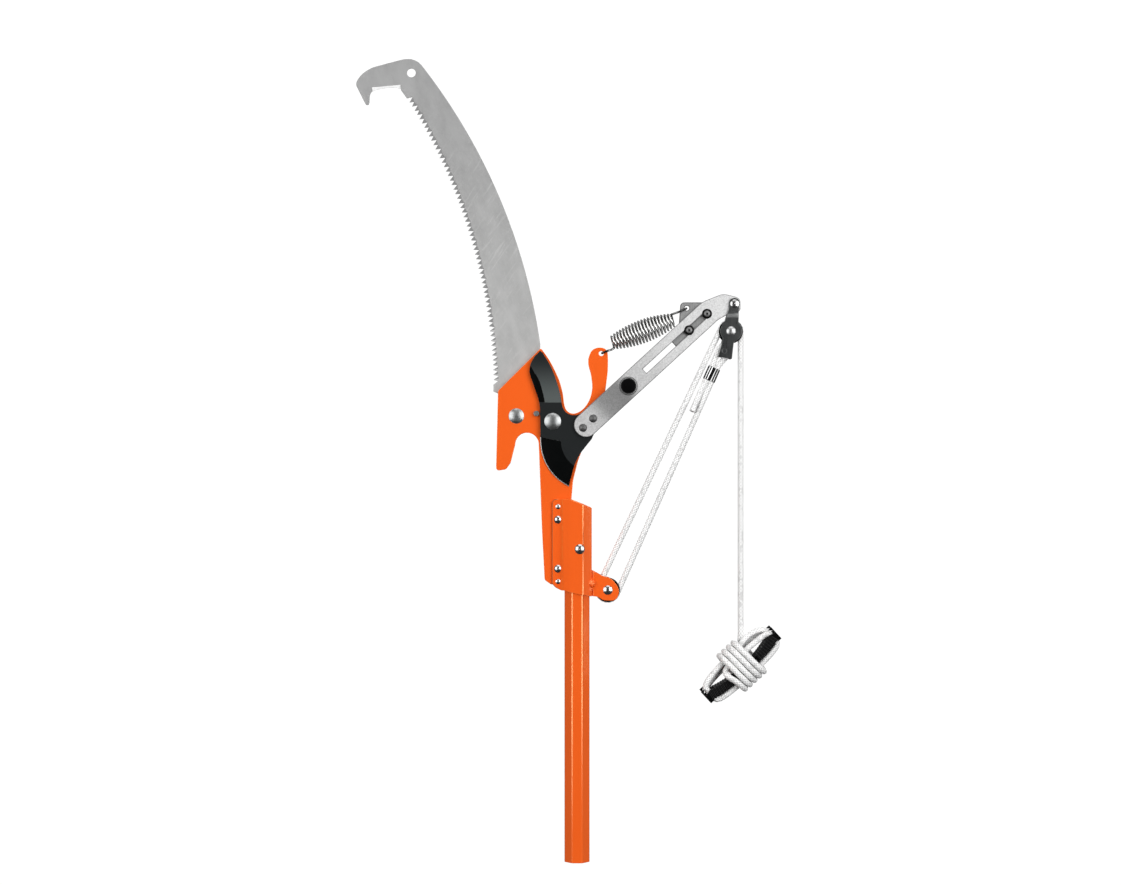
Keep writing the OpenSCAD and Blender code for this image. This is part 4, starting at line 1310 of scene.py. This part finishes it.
@dataclass
class PoleAndSocket:
    """The octagonal pole, its socket, the pulley bracket and their fasteners."""

    rim: float = 0.3
    lump: float = 0.9
    pole_flat: float = 25.0
    cad_corner: float = 2.2
    corner: float = 3.4
    wall_x: float = -14.7
    wall_foot: tuple[float, float] = (-4.6, -3.5)
    wall_ease: float = 2.1
    fold_x: tuple[float, float] = (-17.0, -1.2)
    fold_y: float = -3.6
    even: float = 0.93
    head_keep: float = 0.6
    head_rim: float = 0.2
    nut_rim: float = 0.35
    corner_slack: float = 0.03
    turn_slack: float = 0.01
    wall_slack: float = 0.05
    front_lean: float = -0.05
    lump_scale: float = 0.55
    seats: tuple[tuple[str, float], ...] = (
        ("socket_bolts", -4.0),
        ("socket_rivets", -4.0),
        ("pole_bolt", -14.7),
        ("lower_axle", -6.0),
    )

    def build(self, soft: Softener) -> None:
        """Makes the pieces.

        Args:
            soft: What copies the CAD nodes.
        """
        soft.copy("pole", self.rim, shape=self._drawn)
        socket = soft.copy(
            "pole_socket", 2 * self.rim, shape=self._eased, outer_only=True, finish=FLANGE_COAT
        )
        self._even_fold(socket)
        soft.copy("pulley_bracket", self.rim)
        soft.copy("bracket_weld", self.rim, shape=self._lumpy)
        for node, seat in self.seats:
            soft.copy(node, self.head_rim, shape=lower_heads(seat, self.head_keep))
        for node in ("socket_nuts", "pole_nut"):
            soft.copy(node, self.nut_rim)
        soft.copy("lower_sheave", self.rim)

    def _drawn(self, bm: bmesh.types.BMesh) -> None:
        """Draws the pole's corners rounder, each point along its own normal.

        Args:
            bm: The mesh.
        """
        step = math.radians(45)
        half = math.cos(step / 2)
        before = (self.pole_flat / 2 - self.cad_corner) / half
        after = (self.pole_flat / 2 - self.corner) / half
        for vert in bm.verts:
            at = Vector((vert.co.x / MM, vert.co.y / MM))
            turn = (math.floor(math.atan2(at.y, at.x) / step) + 0.5) * step
            way = Vector((math.cos(turn), math.sin(turn)))
            out = at - way * before
            at_corner = abs(out.length - self.cad_corner) < self.corner_slack
            if at_corner and out.normalized().dot(way) > half - self.turn_slack:
                moved = way * after + out.normalized() * self.corner
                vert.co.x, vert.co.y = moved.x * MM, moved.y * MM

    def _eased(self, bm: bmesh.types.BMesh) -> None:
        """Lays the front wall beside the flange into the slope above it.

        Args:
            bm: The mesh.
        """
        low, high = self.wall_foot
        for vert in bm.verts:
            at_wall = abs(vert.co.x / MM - self.wall_x) < self.wall_slack
            if at_wall and low < vert.co.y / MM < high:
                vert.co.x -= self.wall_ease * MM

    def _even_fold(self, piece: bpy.types.Object) -> None:
        """Evens the shading of the socket's front between its flange and its flat.

        Args:
            piece: The socket.
        """
        mesh = piece.data
        front = Vector((0.0, -1.0, 0.0))
        low, high = self.fold_x
        normals = [Vector(corner.vector) for corner in mesh.corner_normals]
        for loop in mesh.loops:
            at = mesh.vertices[loop.vertex_index].co / MM
            normal = normals[loop.index]
            if low < at.x < high and at.y < self.fold_y and normal.y < self.front_lean:
                normals[loop.index] = normal.lerp(front, self.even).normalized()
        mesh.normals_split_custom_set(normals)

    def _lumpy(self, bm: bmesh.types.BMesh) -> None:
        """Turns the weld's smooth beads into run metal.

        Args:
            bm: The mesh.
        """
        bmesh.ops.triangulate(bm, faces=bm.faces)
        bmesh.ops.subdivide_edges(bm, edges=bm.edges, cuts=1, use_grid_fill=True)
        bm.normal_update()
        for vert in bm.verts:
            swell = noise.fractal(vert.co / MM * self.lump_scale, 1.0, 2.0, 3)
            vert.co += vert.normal * swell * self.lump * MM


@dataclass
class HookPlate:
    """The orange hook plate with the bolts that hold the saw and the cutter."""

    rim: float = 0.45
    pin_rim: float = 0.3
    head_keep: float = 0.5
    saw_seat: float = -2.0
    pivot_seat: float = -6.6

    def build(self, soft: Softener) -> None:
        """Makes the pieces.

        Args:
            soft: What copies the CAD nodes.
        """
        soft.copy("head_plate", self.rim)
        for node, seat in (("saw_bolt", self.saw_seat), ("pivot_bolt", self.pivot_seat)):
            soft.copy(node, self.pin_rim, shape=lower_heads(seat, self.head_keep))
        soft.copy("stop_pin", self.pin_rim)
        for node in ("saw_nut", "pivot_nut"):
            soft.copy(node, self.rim)


@dataclass
class Saw:
    """The saw blade, whose teeth are ground from alternate sides."""

    thick: float = 1.5
    front_y: float = 2.0
    ground: float = 0.5
    point_angle: float = 75.0
    flank: tuple[float, float] = (2.0, 9.0)
    beak_from: float = 770.0
    bevel_lean: tuple[float, float] = (0.3, 0.97)
    rim: float = 0.1
    slack: float = 0.01
    # marks for painted light: the hook's bevel and each lower flank get a painted highlight, each upper
    # flank painted shade
    highlight_bevel_mark: float = 2.0
    lit_flank_mark: float = 0.5
    shaded_flank_mark: float = -1.0

    def build(self, soft: Softener) -> None:
        """Makes the blade."""
        soft.copy("saw_blade", self.rim, segments=1, shape=self._grind)

    def _grind(self, bm: bmesh.types.BMesh) -> None:
        """Splits each tooth into two flanks, grinds it from one side and marks faces for painted highlight
        and shade.

        Args:
            bm: The mesh.
        """
        layer = bm.faces.layers.float["edge"]
        bm.normal_update()
        low, high = self.bevel_lean
        for face in bm.faces:
            if face.calc_center_median().z > self.beak_from * MM and low < -face.normal.y < high:
                face[layer] = self.highlight_bevel_mark
        sides = {self.front_y: 1, self.front_y + self.thick: -1}
        for y, way in sides.items():
            level = [v for v in bm.verts if abs(v.co.y / MM - y) < self.slack]
            points = sorted(filter(self._is_point, level), key=lambda v: v.co.z)
            for index, point in enumerate(points):
                self._split(bm, point, layer)
                if (index % 2 == 0) == (way > 0):
                    point.co.y += way * self.ground * MM

    def _split(
        self, bm: bmesh.types.BMesh, point: bmesh.types.BMVert, layer: bmesh.types.BMLayerItem
    ) -> None:
        """Splits a tooth into its two flanks and marks them: the lower for a painted highlight, the upper
        for painted shade.

        Args:
            bm: The mesh.
            point: The tooth's point.
            layer: The layer that the flanks are marked in.
        """
        made = bmesh.ops.connect_verts(bm, verts=self._beside(point))
        for root in made["edges"]:
            _, middle = bmesh.utils.edge_split(root, root.verts[0], 0.5)
            tooth = next(face for face in middle.link_faces if point in face.verts)
            bmesh.utils.face_split(tooth, point, middle)
        for face in point.link_faces:
            if len(face.verts) == 3:
                upper = face.calc_center_median().z > point.co.z
                face[layer] = self.shaded_flank_mark if upper else self.lit_flank_mark

    def _beside(self, vert: bmesh.types.BMVert) -> list[bmesh.types.BMVert]:
        """Returns the neighbours of a vertex on its own side of the blade."""
        others = [e.other_vert(vert) for e in vert.link_edges]
        return [v for v in others if abs(v.co.y - vert.co.y) < self.slack * MM]

    def _is_point(self, vert: bmesh.types.BMVert) -> bool:
        """Finds whether a vertex is the point of a tooth.

        Args:
            vert: The vertex.

        Returns:
            Whether two flanks of a tooth's length meet there in a sharp angle.
        """
        beside = self._beside(vert)
        if len(beside) != 2:
            return False
        ways = [v.co - vert.co for v in beside]
        low, high = self.flank
        if not all(low < way.length / MM < high for way in ways):
            return False
        leans_out = sum(way.normalized().x for way in ways) > 0
        return leans_out and math.degrees(ways[0].angle(ways[1])) < self.point_angle


@dataclass
class Lever:
    """The cutter, the arm that works it, and what is fixed to the arm."""

    blade_rim: float = 0.22
    arm_rim: float = 0.7
    anchor_rim: float = 0.8
    plug_rim: float = 0.3
    head_rim: float = 0.25

    def build(self, soft: Softener) -> None:
        """Makes the pieces.

        Args:
            soft: What copies the CAD nodes.
        """
        soft.copy("cutter_blade", self.blade_rim)
        soft.copy("lever_arm", self.arm_rim)
        soft.copy("arm_plug", self.plug_rim)
        soft.copy("spring_anchor", self.anchor_rim, finish=ANCHOR_STEEL)
        soft.copy("lever_rivets", self.head_rim)
        soft.copy("anchor_bolts", self.head_rim, finish=ANCHOR_HEADS)
        soft.copy("anchor_nuts", self.plug_rim)


@dataclass
class PulleyBlock:
    """The two straps on the arm's tip with their pins and sheave, and the rope's ferrule."""

    strap_rim: float = 0.35
    pin_rim: float = 0.2
    sheave_rim: float = 0.3
    ferrule_rim: float = 0.6
    pin_seat: float = -11.6
    axle_seat: float = -14.3
    head_keep: float = 0.6

    def build(self, soft: Softener) -> None:
        """Makes the pieces.

        Args:
            soft: What copies the CAD nodes.
        """
        for node in ("strap_front", "strap_rear"):
            soft.copy(node, self.strap_rim)
        soft.copy("block_pin", self.pin_rim, shape=lower_heads(self.pin_seat, self.head_keep))
        lower = lower_heads(self.axle_seat, self.head_keep)
        soft.copy("upper_axle", self.pin_rim, shape=lower, finish=SATIN_HEAD)
        soft.copy("becket_pin", self.pin_rim)
        soft.copy("upper_sheave", self.sheave_rim)
        soft.copy("rope_ferrule", self.ferrule_rim, finish=SLEEVE_METAL)


def unit(vector: np.ndarray) -> np.ndarray:
    """Returns a vector's direction."""
    return vector / np.linalg.norm(vector)


def polar(centre: np.ndarray, radius: float, degrees: float) -> np.ndarray:
    """Returns the point at an angle on a circle."""
    angle = math.radians(degrees)
    return centre + radius * np.array([math.cos(angle), math.sin(angle)])


def angle_of(vector: np.ndarray) -> float:
    """Returns a plane vector's angle in degrees."""
    return math.degrees(math.atan2(vector[1], vector[0]))


def left_of(vector: np.ndarray) -> np.ndarray:
    """Returns a plane vector turned a quarter to the left."""
    return np.array([-vector[1], vector[0]])


def in_depth(point: np.ndarray, y: float) -> np.ndarray:
    """Returns a front-view point as a point in space."""
    return np.array([point[0], y, point[1]])


def ease(share: float) -> float:
    """Returns a smooth step from 0 to 1."""
    share = min(1.0, max(0.0, share))
    return share * share * (3 - 2 * share)


def squared(x: float, power: float) -> float:
    """Returns a sine or cosine pushed out towards a square wave."""
    return math.copysign(abs(x) ** power, x)


def joining(
    start: np.ndarray, leave: np.ndarray, end: np.ndarray, arrive: np.ndarray, steps: int
) -> list[np.ndarray]:
    """Joins two points by a smooth curve.

    Args:
        start: Where it starts.
        leave: How it leaves, with the pull of that end as its length.
        end: Where it ends.
        arrive: How it arrives.
        steps: Number of steps.

    Returns:
        The points between both ends.
    """
    made = []
    for k in range(1, steps):
        s = k / steps
        w = 1 - s
        made.append(
            w**3 * start
            + 3 * w * w * s * (start + leave)
            + 3 * w * s * s * (end - arrive)
            + s**3 * end
        )
    return made


@dataclass
class Hank:
    """The rope's spare length, wound on the handle and bound across its middle."""

    rope_d: float
    at: tuple[float, float] = (162.6, 197.7)
    angle: float = 42.7
    handle_len: float = 95.0
    handle_d: float = 23.0
    slot_depth: float = 10.0
    end_room: float = 1.3
    pass_gap: float = 0.55
    rows: tuple[float, float] = (2.0, -1.5)
    shift_from: float = 0.08
    shift_over: float = 0.84
    loop_mid: float = -1.0
    tops: tuple[float, ...] = (7.6, 10.6, 13.2, 7.6)
    swells: tuple[float, ...] = (0.0, 0.0, 3.5, 0.0)
    swell_from: float = 10.0
    low: float = 13.5
    top_round: float = 0.35
    low_round: float = 0.3
    turns: tuple[float, float] = (0.28, 3.28)
    bind_v: float = 20.4
    bind_mid: float = -0.5
    bind_room: float = 2.4
    bind_square: float = 0.75
    bind_turns: float = 4.5
    bind_from: float = 1 / 12
    loop_pull: float = 16.0
    bind_pull: float = 14.0
    rise_pull: float = 18.0
    fall_pull: float = 10.0
    join_steps: tuple[int, int] = (18, 24)
    rings: int = 48

    @property
    def pitch(self) -> float:
        """Returns the step from one pass of the rope to the next."""
        return self.rope_d + self.pass_gap

    @property
    def axis(self) -> tuple[float, float]:
        """Returns the handle's direction in the front view."""
        turn = math.radians(self.angle)
        return math.cos(turn), math.sin(turn)

    def loop_point(self, turns: float) -> np.ndarray:
        """Finds a point of the lengthwise loops.

        Args:
            turns: Turns from the start of the first loop.

        Returns:
            The point in the handle's own frame: along it, in depth and across it.
        """
        whole = math.floor(turns)
        shift = ease(((turns - whole) * 2 - self.shift_from) / self.shift_over)
        reach = self.handle_len / 2 - self.slot_depth + self.rope_d / 2 + self.end_room
        side = math.sin(math.tau * turns)
        along = reach * math.cos(math.tau * turns)
        if side > 0:
            share = max(0.0, (along - self.swell_from) / (reach - self.swell_from))
            across = self.loop_mid + (self.tops[whole] - self.loop_mid) * side**self.top_round
            across += self.swells[whole] * 4 * share * (1 - share)
        else:
            across = self.loop_mid - (self.low + self.loop_mid) * (-side) ** self.low_round
        first, last = self.rows
        return np.array([along, max(last, first - whole - shift) * self.pitch, across])

    def bind_point(self, turns: float) -> np.ndarray:
        """Finds a point of the crosswise turns.

        Args:
            turns: Turns from the start of the binding.

        Returns:
            The point in the handle's own frame.
        """
        depth = (self.handle_d + self.rope_d) / 2 + self.bind_room
        turn = math.tau * turns
        along = self.pitch * (turns - self.bind_turns / 2)
        front = -depth * squared(math.cos(turn), self.bind_square)
        across = self.bind_mid - self.bind_v * squared(math.sin(turn), self.bind_square)
        return np.array([along, front, across])

    def to_space(self, point: np.ndarray, y: float) -> np.ndarray:
        """Places a point of the handle's own frame.

        Args:
            point: The point in the handle's own frame.
            y: Depth of the handle.

        Returns:
            The point in space.
        """
        along, front, across = point
        c, s = self.axis
        x = self.at[0] + along * c - across * s
        z = self.at[1] + along * s + across * c
        return np.array([x, y + front, z])

    def line(self, fall_end: tuple[float, float], y: float) -> list[np.ndarray]:
        """Lays the hank's centreline from the fall down to its inner end.

        Args:
            fall_end: Where the fall comes in, in the front view.
            y: Depth of the fall.

        Returns:
            The points in space.
        """
        c, s = self.axis
        off = np.array(fall_end) - np.array(self.at)
        start = np.array([off[0] * c + off[1] * s, 0.0, off[1] * c - off[0] * s])
        plumb = np.array([s, 0.0, c])
        leave = start - self.rope_d * plumb
        loops = self._sampled(self.loop_point, *self.turns)
        binds = self._sampled(self.bind_point, self.bind_from, self.bind_turns)
        loop_way = self.loop_pull * unit(loops[-1] - loops[-2])
        bind_way = self.bind_pull * unit(binds[1] - binds[0])
        rise = np.array([0.0, 0.0, self.rise_pull])
        over, out = self.join_steps
        path = [
            *loops,
            *joining(loops[-1], loop_way, binds[0], bind_way, over),
            *binds,
            *joining(binds[-1], rise, leave, self.fall_pull * plumb, out),
            leave,
        ]
        return [self.to_space(point, y) for point in reversed(path)]

    def _sampled(
        self, point: Callable[[float], np.ndarray], first: float, last: float
    ) -> list[np.ndarray]:
        """Returns the points of a winding between two numbers of turns."""
        count = round(self.rings * (last - first))
        return [point(first + (last - first) * k / count) for k in range(count + 1)]


@dataclass
class RopeRun:
    """The rope: its eye, two strands between the pulleys, the fall and the hank."""

    rope_d: float = 5.8
    sides: int = 24
    step: float = 0.8
    block_y: float = -7.8
    pitch_r: float = 10.0
    lower: tuple[float, float] = (30.75, 271.15)
    upper: tuple[float, float] = (153.0, 529.1)
    becket: tuple[float, float] = (146.4, 509.5)
    becket_r: float = 2.2
    ferrule: tuple[float, float] = (134.0, 486.5)
    ferrule_len: float = 14.0
    barrel_gap: float = 0.1
    lap: float = 0.2
    gap: float = 0.3
    eye_rise: tuple[float, ...] = (-0.2, 2.5, 5.0)
    eye_angles: tuple[float, float, float] = (152.0, -47.0, -11.0)
    eye_fall: tuple[float, ...] = (4.0, 2.0, -0.2)
    tail_len: float = 35.0
    tail_lean: float = 4.5
    wrap_trim: float = 2.6
    turn_trim: tuple[float, float] = (1.0, 0.5)
    fall_end: float = 236.0
    fall_blend: tuple[float, float] = (14.0, 8.0)
    standing_keep: float = 0.4031
    return_keep: float = 0.5054
    strand_points: tuple[int, int] = (30, 34)
    wrap_points: tuple[int, int] = (22, 30)
    fall_points: int = 40
    tail_points: int = 12

    def __post_init__(self) -> None:
        """Works out where the strands touch the pulleys."""
        self.barrel = self.rope_d / 2 + self.barrel_gap
        lower, upper, ferrule = (np.array(p) for p in (self.lower, self.upper, self.ferrule))
        to_ferrule = ferrule - lower
        lean = math.asin((self.pitch_r - self.barrel) / np.linalg.norm(to_ferrule))
        self.standing_angle = angle_of(to_ferrule) + math.degrees(lean)
        self.way = polar(np.zeros(2), 1.0, self.standing_angle)
        self.left = left_of(self.way)
        self.foot = ferrule - self.ferrule_len / 2 * self.way
        self.top = ferrule + self.ferrule_len / 2 * self.way
        self.return_angle = angle_of(upper - lower)
        self.return_left = left_of(unit(upper - lower))
        self.lower_at, self.upper_at = lower, upper

    def build(self, frame: Frame, sweep: SweptLine) -> None:
        """Makes the rope's pieces.

        Args:
            frame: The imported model.
            sweep: The tree that sweeps the rope.
        """
        self._pull_rope(frame, sweep)
        standing, returning = self.strand_points
        start = self.lower_at - self.pitch_r * self.left
        end = self.foot - self.barrel * self.left + self.lap * self.way
        line = self._straight(start, end, standing)
        self._strand(frame, sweep, "standing", line, self.standing_keep)
        start = self.lower_at + self.pitch_r * self.return_left
        end = self.upper_at + self.pitch_r * self.return_left
        line = self._straight(start, end, returning)
        self._strand(frame, sweep, "return", line, self.return_keep)
        self._lower_wrap(frame, sweep)
        self._eye_and_tail(frame, sweep)

    def _rope(self, sweep: SweptLine, name: str, line: Sequence[np.ndarray]) -> bpy.types.Object:
        """Sweeps a length of the rope.

        Args:
            sweep: The tree that sweeps it.
            name: The piece's name.
            line: The points of its centreline.

        Returns:
            The new piece.
        """
        piece = sweep.make(
            name, line, self.rope_d / 2, self.sides, self.step, FINISHES[Slot.ROPE], BRAID.depth
        )
        log.info("%s: %d faces", name, len(piece.data.polygons))
        return piece

    def _wrapped(
        self, centre: np.ndarray, first: float, last: float, count: int, y: float
    ) -> list[np.ndarray]:
        """Returns the points of a turn round a pulley, between two angles."""
        angles = np.linspace(first, last, count)
        return [in_depth(polar(centre, self.pitch_r, angle), y) for angle in angles]

    def _straight(self, start: np.ndarray, end: np.ndarray, count: int) -> list[np.ndarray]:
        """Returns the points of a strand from the lower pulley's depth to the block's."""
        shares = np.linspace(0.0, 1.0, count)
        return [in_depth(start + s * (end - start), s * self.block_y) for s in shares]

    def _pull_rope(self, frame: Frame, sweep: SweptLine) -> None:
        """Makes the length from the upper pulley down to the hank's inner end.

        Args:
            frame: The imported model.
            sweep: The tree that sweeps the rope.
        """
        first = self.return_angle + 90 - self.wrap_trim
        fall_x = self.upper_at[0] + self.pitch_r
        heights = np.linspace(self.upper_at[1], self.fall_end, self.fall_points)[1:]
        line = [
            *self._wrapped(self.upper_at, first, 0.0, self.wrap_points[0], self.block_y),
            *[np.array([fall_x, self.block_y, z]) for z in heights],
            *Hank(self.rope_d).line((fall_x, self.fall_end), self.block_y),
        ]
        piece = self._rope(sweep, "pull_rope", line)
        frame.add(piece, "rope_fall", "rope_hank")
        below, above = self.fall_blend
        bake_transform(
            piece,
            "fall",
            "handle",
            start=in_metres((fall_x, self.block_y, self.upper_at[1] - below)),
            end=in_metres((fall_x, self.block_y, self.fall_end + above)),
        )
        in_metres(line[0])
        self.rope_d * MM
        [in_metres(point) for point in line]

    def _strand(
        self, frame: Frame, sweep: SweptLine, name: str, line: list[np.ndarray], keep: float
    ) -> None:
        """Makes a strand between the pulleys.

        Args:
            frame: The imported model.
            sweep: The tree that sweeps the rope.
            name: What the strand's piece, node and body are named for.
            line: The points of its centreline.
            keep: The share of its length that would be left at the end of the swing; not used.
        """
        piece = frame.add(self._rope(sweep, f"{name}_rope", line), f"{name}_strand")
        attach(piece, f"{name}_rope")
        in_metres(line[0])
        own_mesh(piece)

    def _lower_wrap(self, frame: Frame, sweep: SweptLine) -> None:
        """Makes the turn under the lower pulley.

        Args:
            frame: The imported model.
            sweep: The tree that sweeps the rope.
        """
        before, after = self.turn_trim
        first = self.standing_angle + 270 - before
        last = self.return_angle + 90 + after
        turn = self._wrapped(self.lower_at, first, last, self.wrap_points[1], 0.0)
        wrap = frame.add(self._rope(sweep, "lower_wrap", turn), "return_strand")
        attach(wrap, "return_rope")

    def _eye_and_tail(self, frame: Frame, sweep: SweptLine) -> None:
        """Makes the eye on the becket pin and the cut end below the ferrule.

        Args:
            frame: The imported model.
            sweep: The tree that sweeps the rope.
        """
        radius = self.becket_r + self.rope_d / 2 + self.gap
        side = self.barrel * self.left
        becket = np.array(self.becket)
        eye = [
            *[self.top + side + rise * self.way for rise in self.eye_rise],
            *[polar(becket, radius, angle) for angle in np.arange(*self.eye_angles)],
            *[self.top - side + rise * self.way for rise in self.eye_fall],
        ]
        piece = self._rope(sweep, "rope_eye_braided", [in_depth(p, self.block_y) for p in eye])
        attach(frame.add(piece, "rope_eye"), "block")
        start = self.foot + side + self.lap * self.way
        tail = [
            in_depth(start - s * self.tail_len * self.way, self.block_y - self.tail_lean * s * s)
            for s in np.linspace(0.0, 1.0, self.tail_points)
        ]
        piece = self._rope(sweep, "rope_tail_braided", tail)
        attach(frame.add(piece, "rope_dead_end"), "block")


@dataclass
class ReturnSpring:
    """The barrel spring between the plate's horn and the anchor on the arm."""

    wire_d: float = 2.2
    sides: int = 12
    step: float = 0.75
    turns: float = 19.5
    end_r: float = 5.6
    mid_r: float = 11.0
    start: tuple[float, float, float] = (35.0, -0.5, 518.2)
    end: tuple[float, float, float] = (96.4, -3.5, 541.2)
    barrel: float = 0.8
    plate_front: float = -2.0
    anchor_hole: tuple[float, float] = (109.6, 552.5)
    anchor_y: float = -6.3
    anchor_t: float = 2.0
    hook_lean: float = 25.0
    hook_back: float = 0.6
    gap: float = 0.3
    rings: int = 28

    @property
    def clear(self) -> float:
        """Returns how far the wire's centreline stays from a face."""
        return self.wire_d / 2 + self.gap

    def build(self, frame: Frame, sweep: SweptLine) -> None:
        """Makes the spring, which stretches along its own line.

        Args:
            frame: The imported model.
            sweep: The tree that sweeps the wire.
        """
        line = [*self._horn_hook(), *self._coil(), *self._anchor_hook()]
        finish = FINISHES[Slot.SPRING_WIRE]
        piece = sweep.make("spring_coil", line, self.wire_d / 2, self.sides, self.step, finish)
        frame.add(piece, "return_spring", "spring_hook")
        self._mark_crown_highlight(piece.data)
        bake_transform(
            piece,
            "spring",
            "spring_end",
            start=in_metres(self.start),
            end=in_metres(self.end),
        )
        log.info("spring_coil: %d faces", len(piece.data.polygons))

    def _radius(self, share: Any) -> Any:
        """Returns the coil's radius at a share of its length, or at an array of shares."""
        return self.end_r + (self.mid_r - self.end_r) * np.sin(np.pi * share) ** self.barrel

    def _mark_crown_highlight(self, mesh: bpy.types.Mesh) -> None:
        """Marks where the coil's wire gets its painted highlight, from 0 at its flanks to 1 on its outer
        crown.

        Args:
            mesh: The spring's mesh.
        """
        points = np.empty(3 * len(mesh.vertices))
        mesh.vertices.foreach_get("co", points)
        start, end = np.array(self.start), np.array(self.end)
        off = points.reshape(-1, 3) / MM - start
        share = off @ (end - start) / np.sum((end - start) ** 2)
        out = np.linalg.norm(off - np.outer(share, end - start), axis=1)
        crown = (out - self._radius(np.clip(share, 0.0, 1.0))) / (self.wire_d / 2)
        crown[(share < 0) | (share > 1)] = 0.0
        # the mark lightens each crown into a painted highlight in the wire's finish
        mark = mesh.attributes.new("edge", "FLOAT", "POINT")
        mark.data.foreach_set("value", np.clip(crown, 0.0, 1.0))

    def _coil(self) -> list[np.ndarray]:
        """Winds the coil.

        Returns:
            The points of its centreline.
        """
        start, end = np.array(self.start), np.array(self.end)
        way = unit(end - start)
        up = np.array([0.0, 0.0, 1.0])
        up = unit(up - (up @ way) * way)
        back = np.cross(way, up)
        coil = []
        count = round(self.rings * self.turns)
        for k in range(count + 1):
            share = k / count
            turn = math.pi + math.tau * self.turns * share
            out = up * math.cos(turn) + back * math.sin(turn)
            radius = self._radius(min(share, 1 - share))
            coil.append(start + share * (end - start) + radius * out)
        return coil

    def _horn_hook(self) -> list[np.ndarray]:
        """Bends the hook through the plate's horn.

        Returns:
            The points of its centreline, up to the coil.
        """
        front = self.plate_front - self.clear
        points = [
            (30.0, -front, 509.9),
            (27.0, -front, 508.6),
            (25.5, -front - 0.6, 508.0),
            (25.1, 0.0, 507.8),
            (25.5, front + 0.6, 508.0),
            (27.2, front, 508.7),
            (31.5, front, 510.4),
            (34.6, front / 2, 511.4),
        ]
        return [np.array(point) for point in points]

    def _anchor_hook(self) -> list[np.ndarray]:
        """Bends the hook through the anchor's hole.

        Returns:
            The points of its centreline, from the coil.
        """
        near = self.anchor_y - self.clear
        far = self.anchor_y + self.anchor_t + self.clear
        lean = math.radians(self.hook_lean)
        slope = np.array([math.cos(lean), 0.0, math.sin(lean)])
        hole = in_depth(np.array(self.anchor_hole), 0.0)
        bends = [
            (8.6, near),
            (4.0, near),
            (1.4, near),
            (0.3, near + 0.5),
            (0.0, self.anchor_y + self.anchor_t / 2),
            (0.3, far - 0.5),
            (1.4, far),
            (4.0, far),
        ]
        return [
            hole - (run + self.hook_back) * slope + np.array([0.0, y, 0.0]) for run, y in bends
        ]


@dataclass
class RopeHandle:
    """The black ribbed handle that the hank is wound on."""

    rim: float = 0.3

    def build(self, soft: Softener) -> None:
        """Makes the handle."""
        soft.copy("rope_handle", self.rim)


@dataclass(frozen=True)
class Lamp:
    """A soft box that the camera doesn't see."""

    name: str
    at: tuple[float, float, float]
    size: tuple[float, float]
    power: float

    def build(self, target: tuple[float, float, float]) -> None:
        """Hangs the lamp.

        Args:
            target: The point that it is turned to.
        """
        data = bpy.data.lights.new(self.name, "AREA")
        data.shape = "RECTANGLE"
        data.size, data.size_y = self.size
        data.energy = self.power
        lamp = new_object(self.name, data)
        lamp.visible_camera = False
        lamp.location = self.at
        aim = Vector(target) - Vector(self.at)
        lamp.rotation_euler = aim.to_track_quat("-Z", "Y").to_euler()


@dataclass
class Studio:
    """The camera at the photograph's place, and soft light on white."""

    camera_at: tuple[float, float, float] = (-0.0165, -2.0, 0.4185)
    lens: float = 64.2
    sensor: float = 36.0
    target: tuple[float, float, float] = (0.0, 0.0, 0.42)
    lamps: tuple[Lamp, ...] = (
        Lamp("left_box", (-1.7, -2.0, 0.7), (2.0, 2.2), 44.5),
        Lamp("right_box", (1.7, -2.0, 0.8), (2.0, 2.2), 53.5),
        Lamp("top_box", (0.2, -0.9, 2.4), (1.8, 1.8), 22.0),
        Lamp("rear_box", (0.6, 2.2, 1.2), (1.6, 1.2), 14.0),
    )
    dim: float = 0.05
    side_light: float = 0.06
    top_light: float = 0.12
    rear_light: float = 0.2
    backdrop: float = 1.05

    def build_camera(self) -> None:
        """Makes the camera."""
        data = bpy.data.cameras.new("photo_camera")
        data.lens = self.lens
        data.sensor_width = self.sensor
        camera = new_object("photo_camera", data)
        camera.location = self.camera_at
        camera.rotation_euler = (math.radians(90), 0.0, 0.0)
        bpy.context.scene.camera = camera

    def build(self) -> None:
        """Makes the lamps and the sky."""
        for lamp in self.lamps:
            lamp.build(self.target)
        self._sky()
        bpy.context.scene.view_settings.view_transform = "Standard"

    def _sky(self) -> None:
        """Makes the surrounding light: brighter at the sides and above, plain white to the eye."""
        world = bpy.data.worlds.new("studio_sky")
        world.use_nodes = True
        bpy.context.scene.world = world
        g = Shader(world.node_tree)
        x, y, z = g.axes(g.node("ShaderNodeTexCoord", out="Generated"))
        above, behind = z.math("MAXIMUM", 0.0), y.math("MAXIMUM", 0.0)
        light = self.dim + self.side_light * (x * x)
        light = light + self.top_light * above + self.rear_light * behind
        seen = g.node("ShaderNodeLightPath", out="Is Camera Ray")
        level = light + seen * (self.backdrop - light)
        glow = g.tree.nodes["Background"]
        glow.inputs["Color"].default_value = (1.0, 1.0, 1.0, 1.0)
        g.tree.links.new(level.socket, glow.inputs["Strength"])


def main() -> None:
    """Builds the scene, in the order in which its pieces depend on each other."""
    logging.basicConfig(level=logging.INFO, format="%(message)s")
    frame = Frame.load()
    studio = Studio()
    studio.build_camera()
    soft = Softener(frame)
    sweep = SweptLine()
    RopeHandle().build(soft)
    RopeRun().build(frame, sweep)
    ReturnSpring().build(frame, sweep)
    PoleAndSocket().build(soft)
    HookPlate().build(soft)
    Saw().build(soft)
    Lever().build(soft)
    PulleyBlock().build(soft)
    studio.build()


if __name__ == "__main__":
    main()
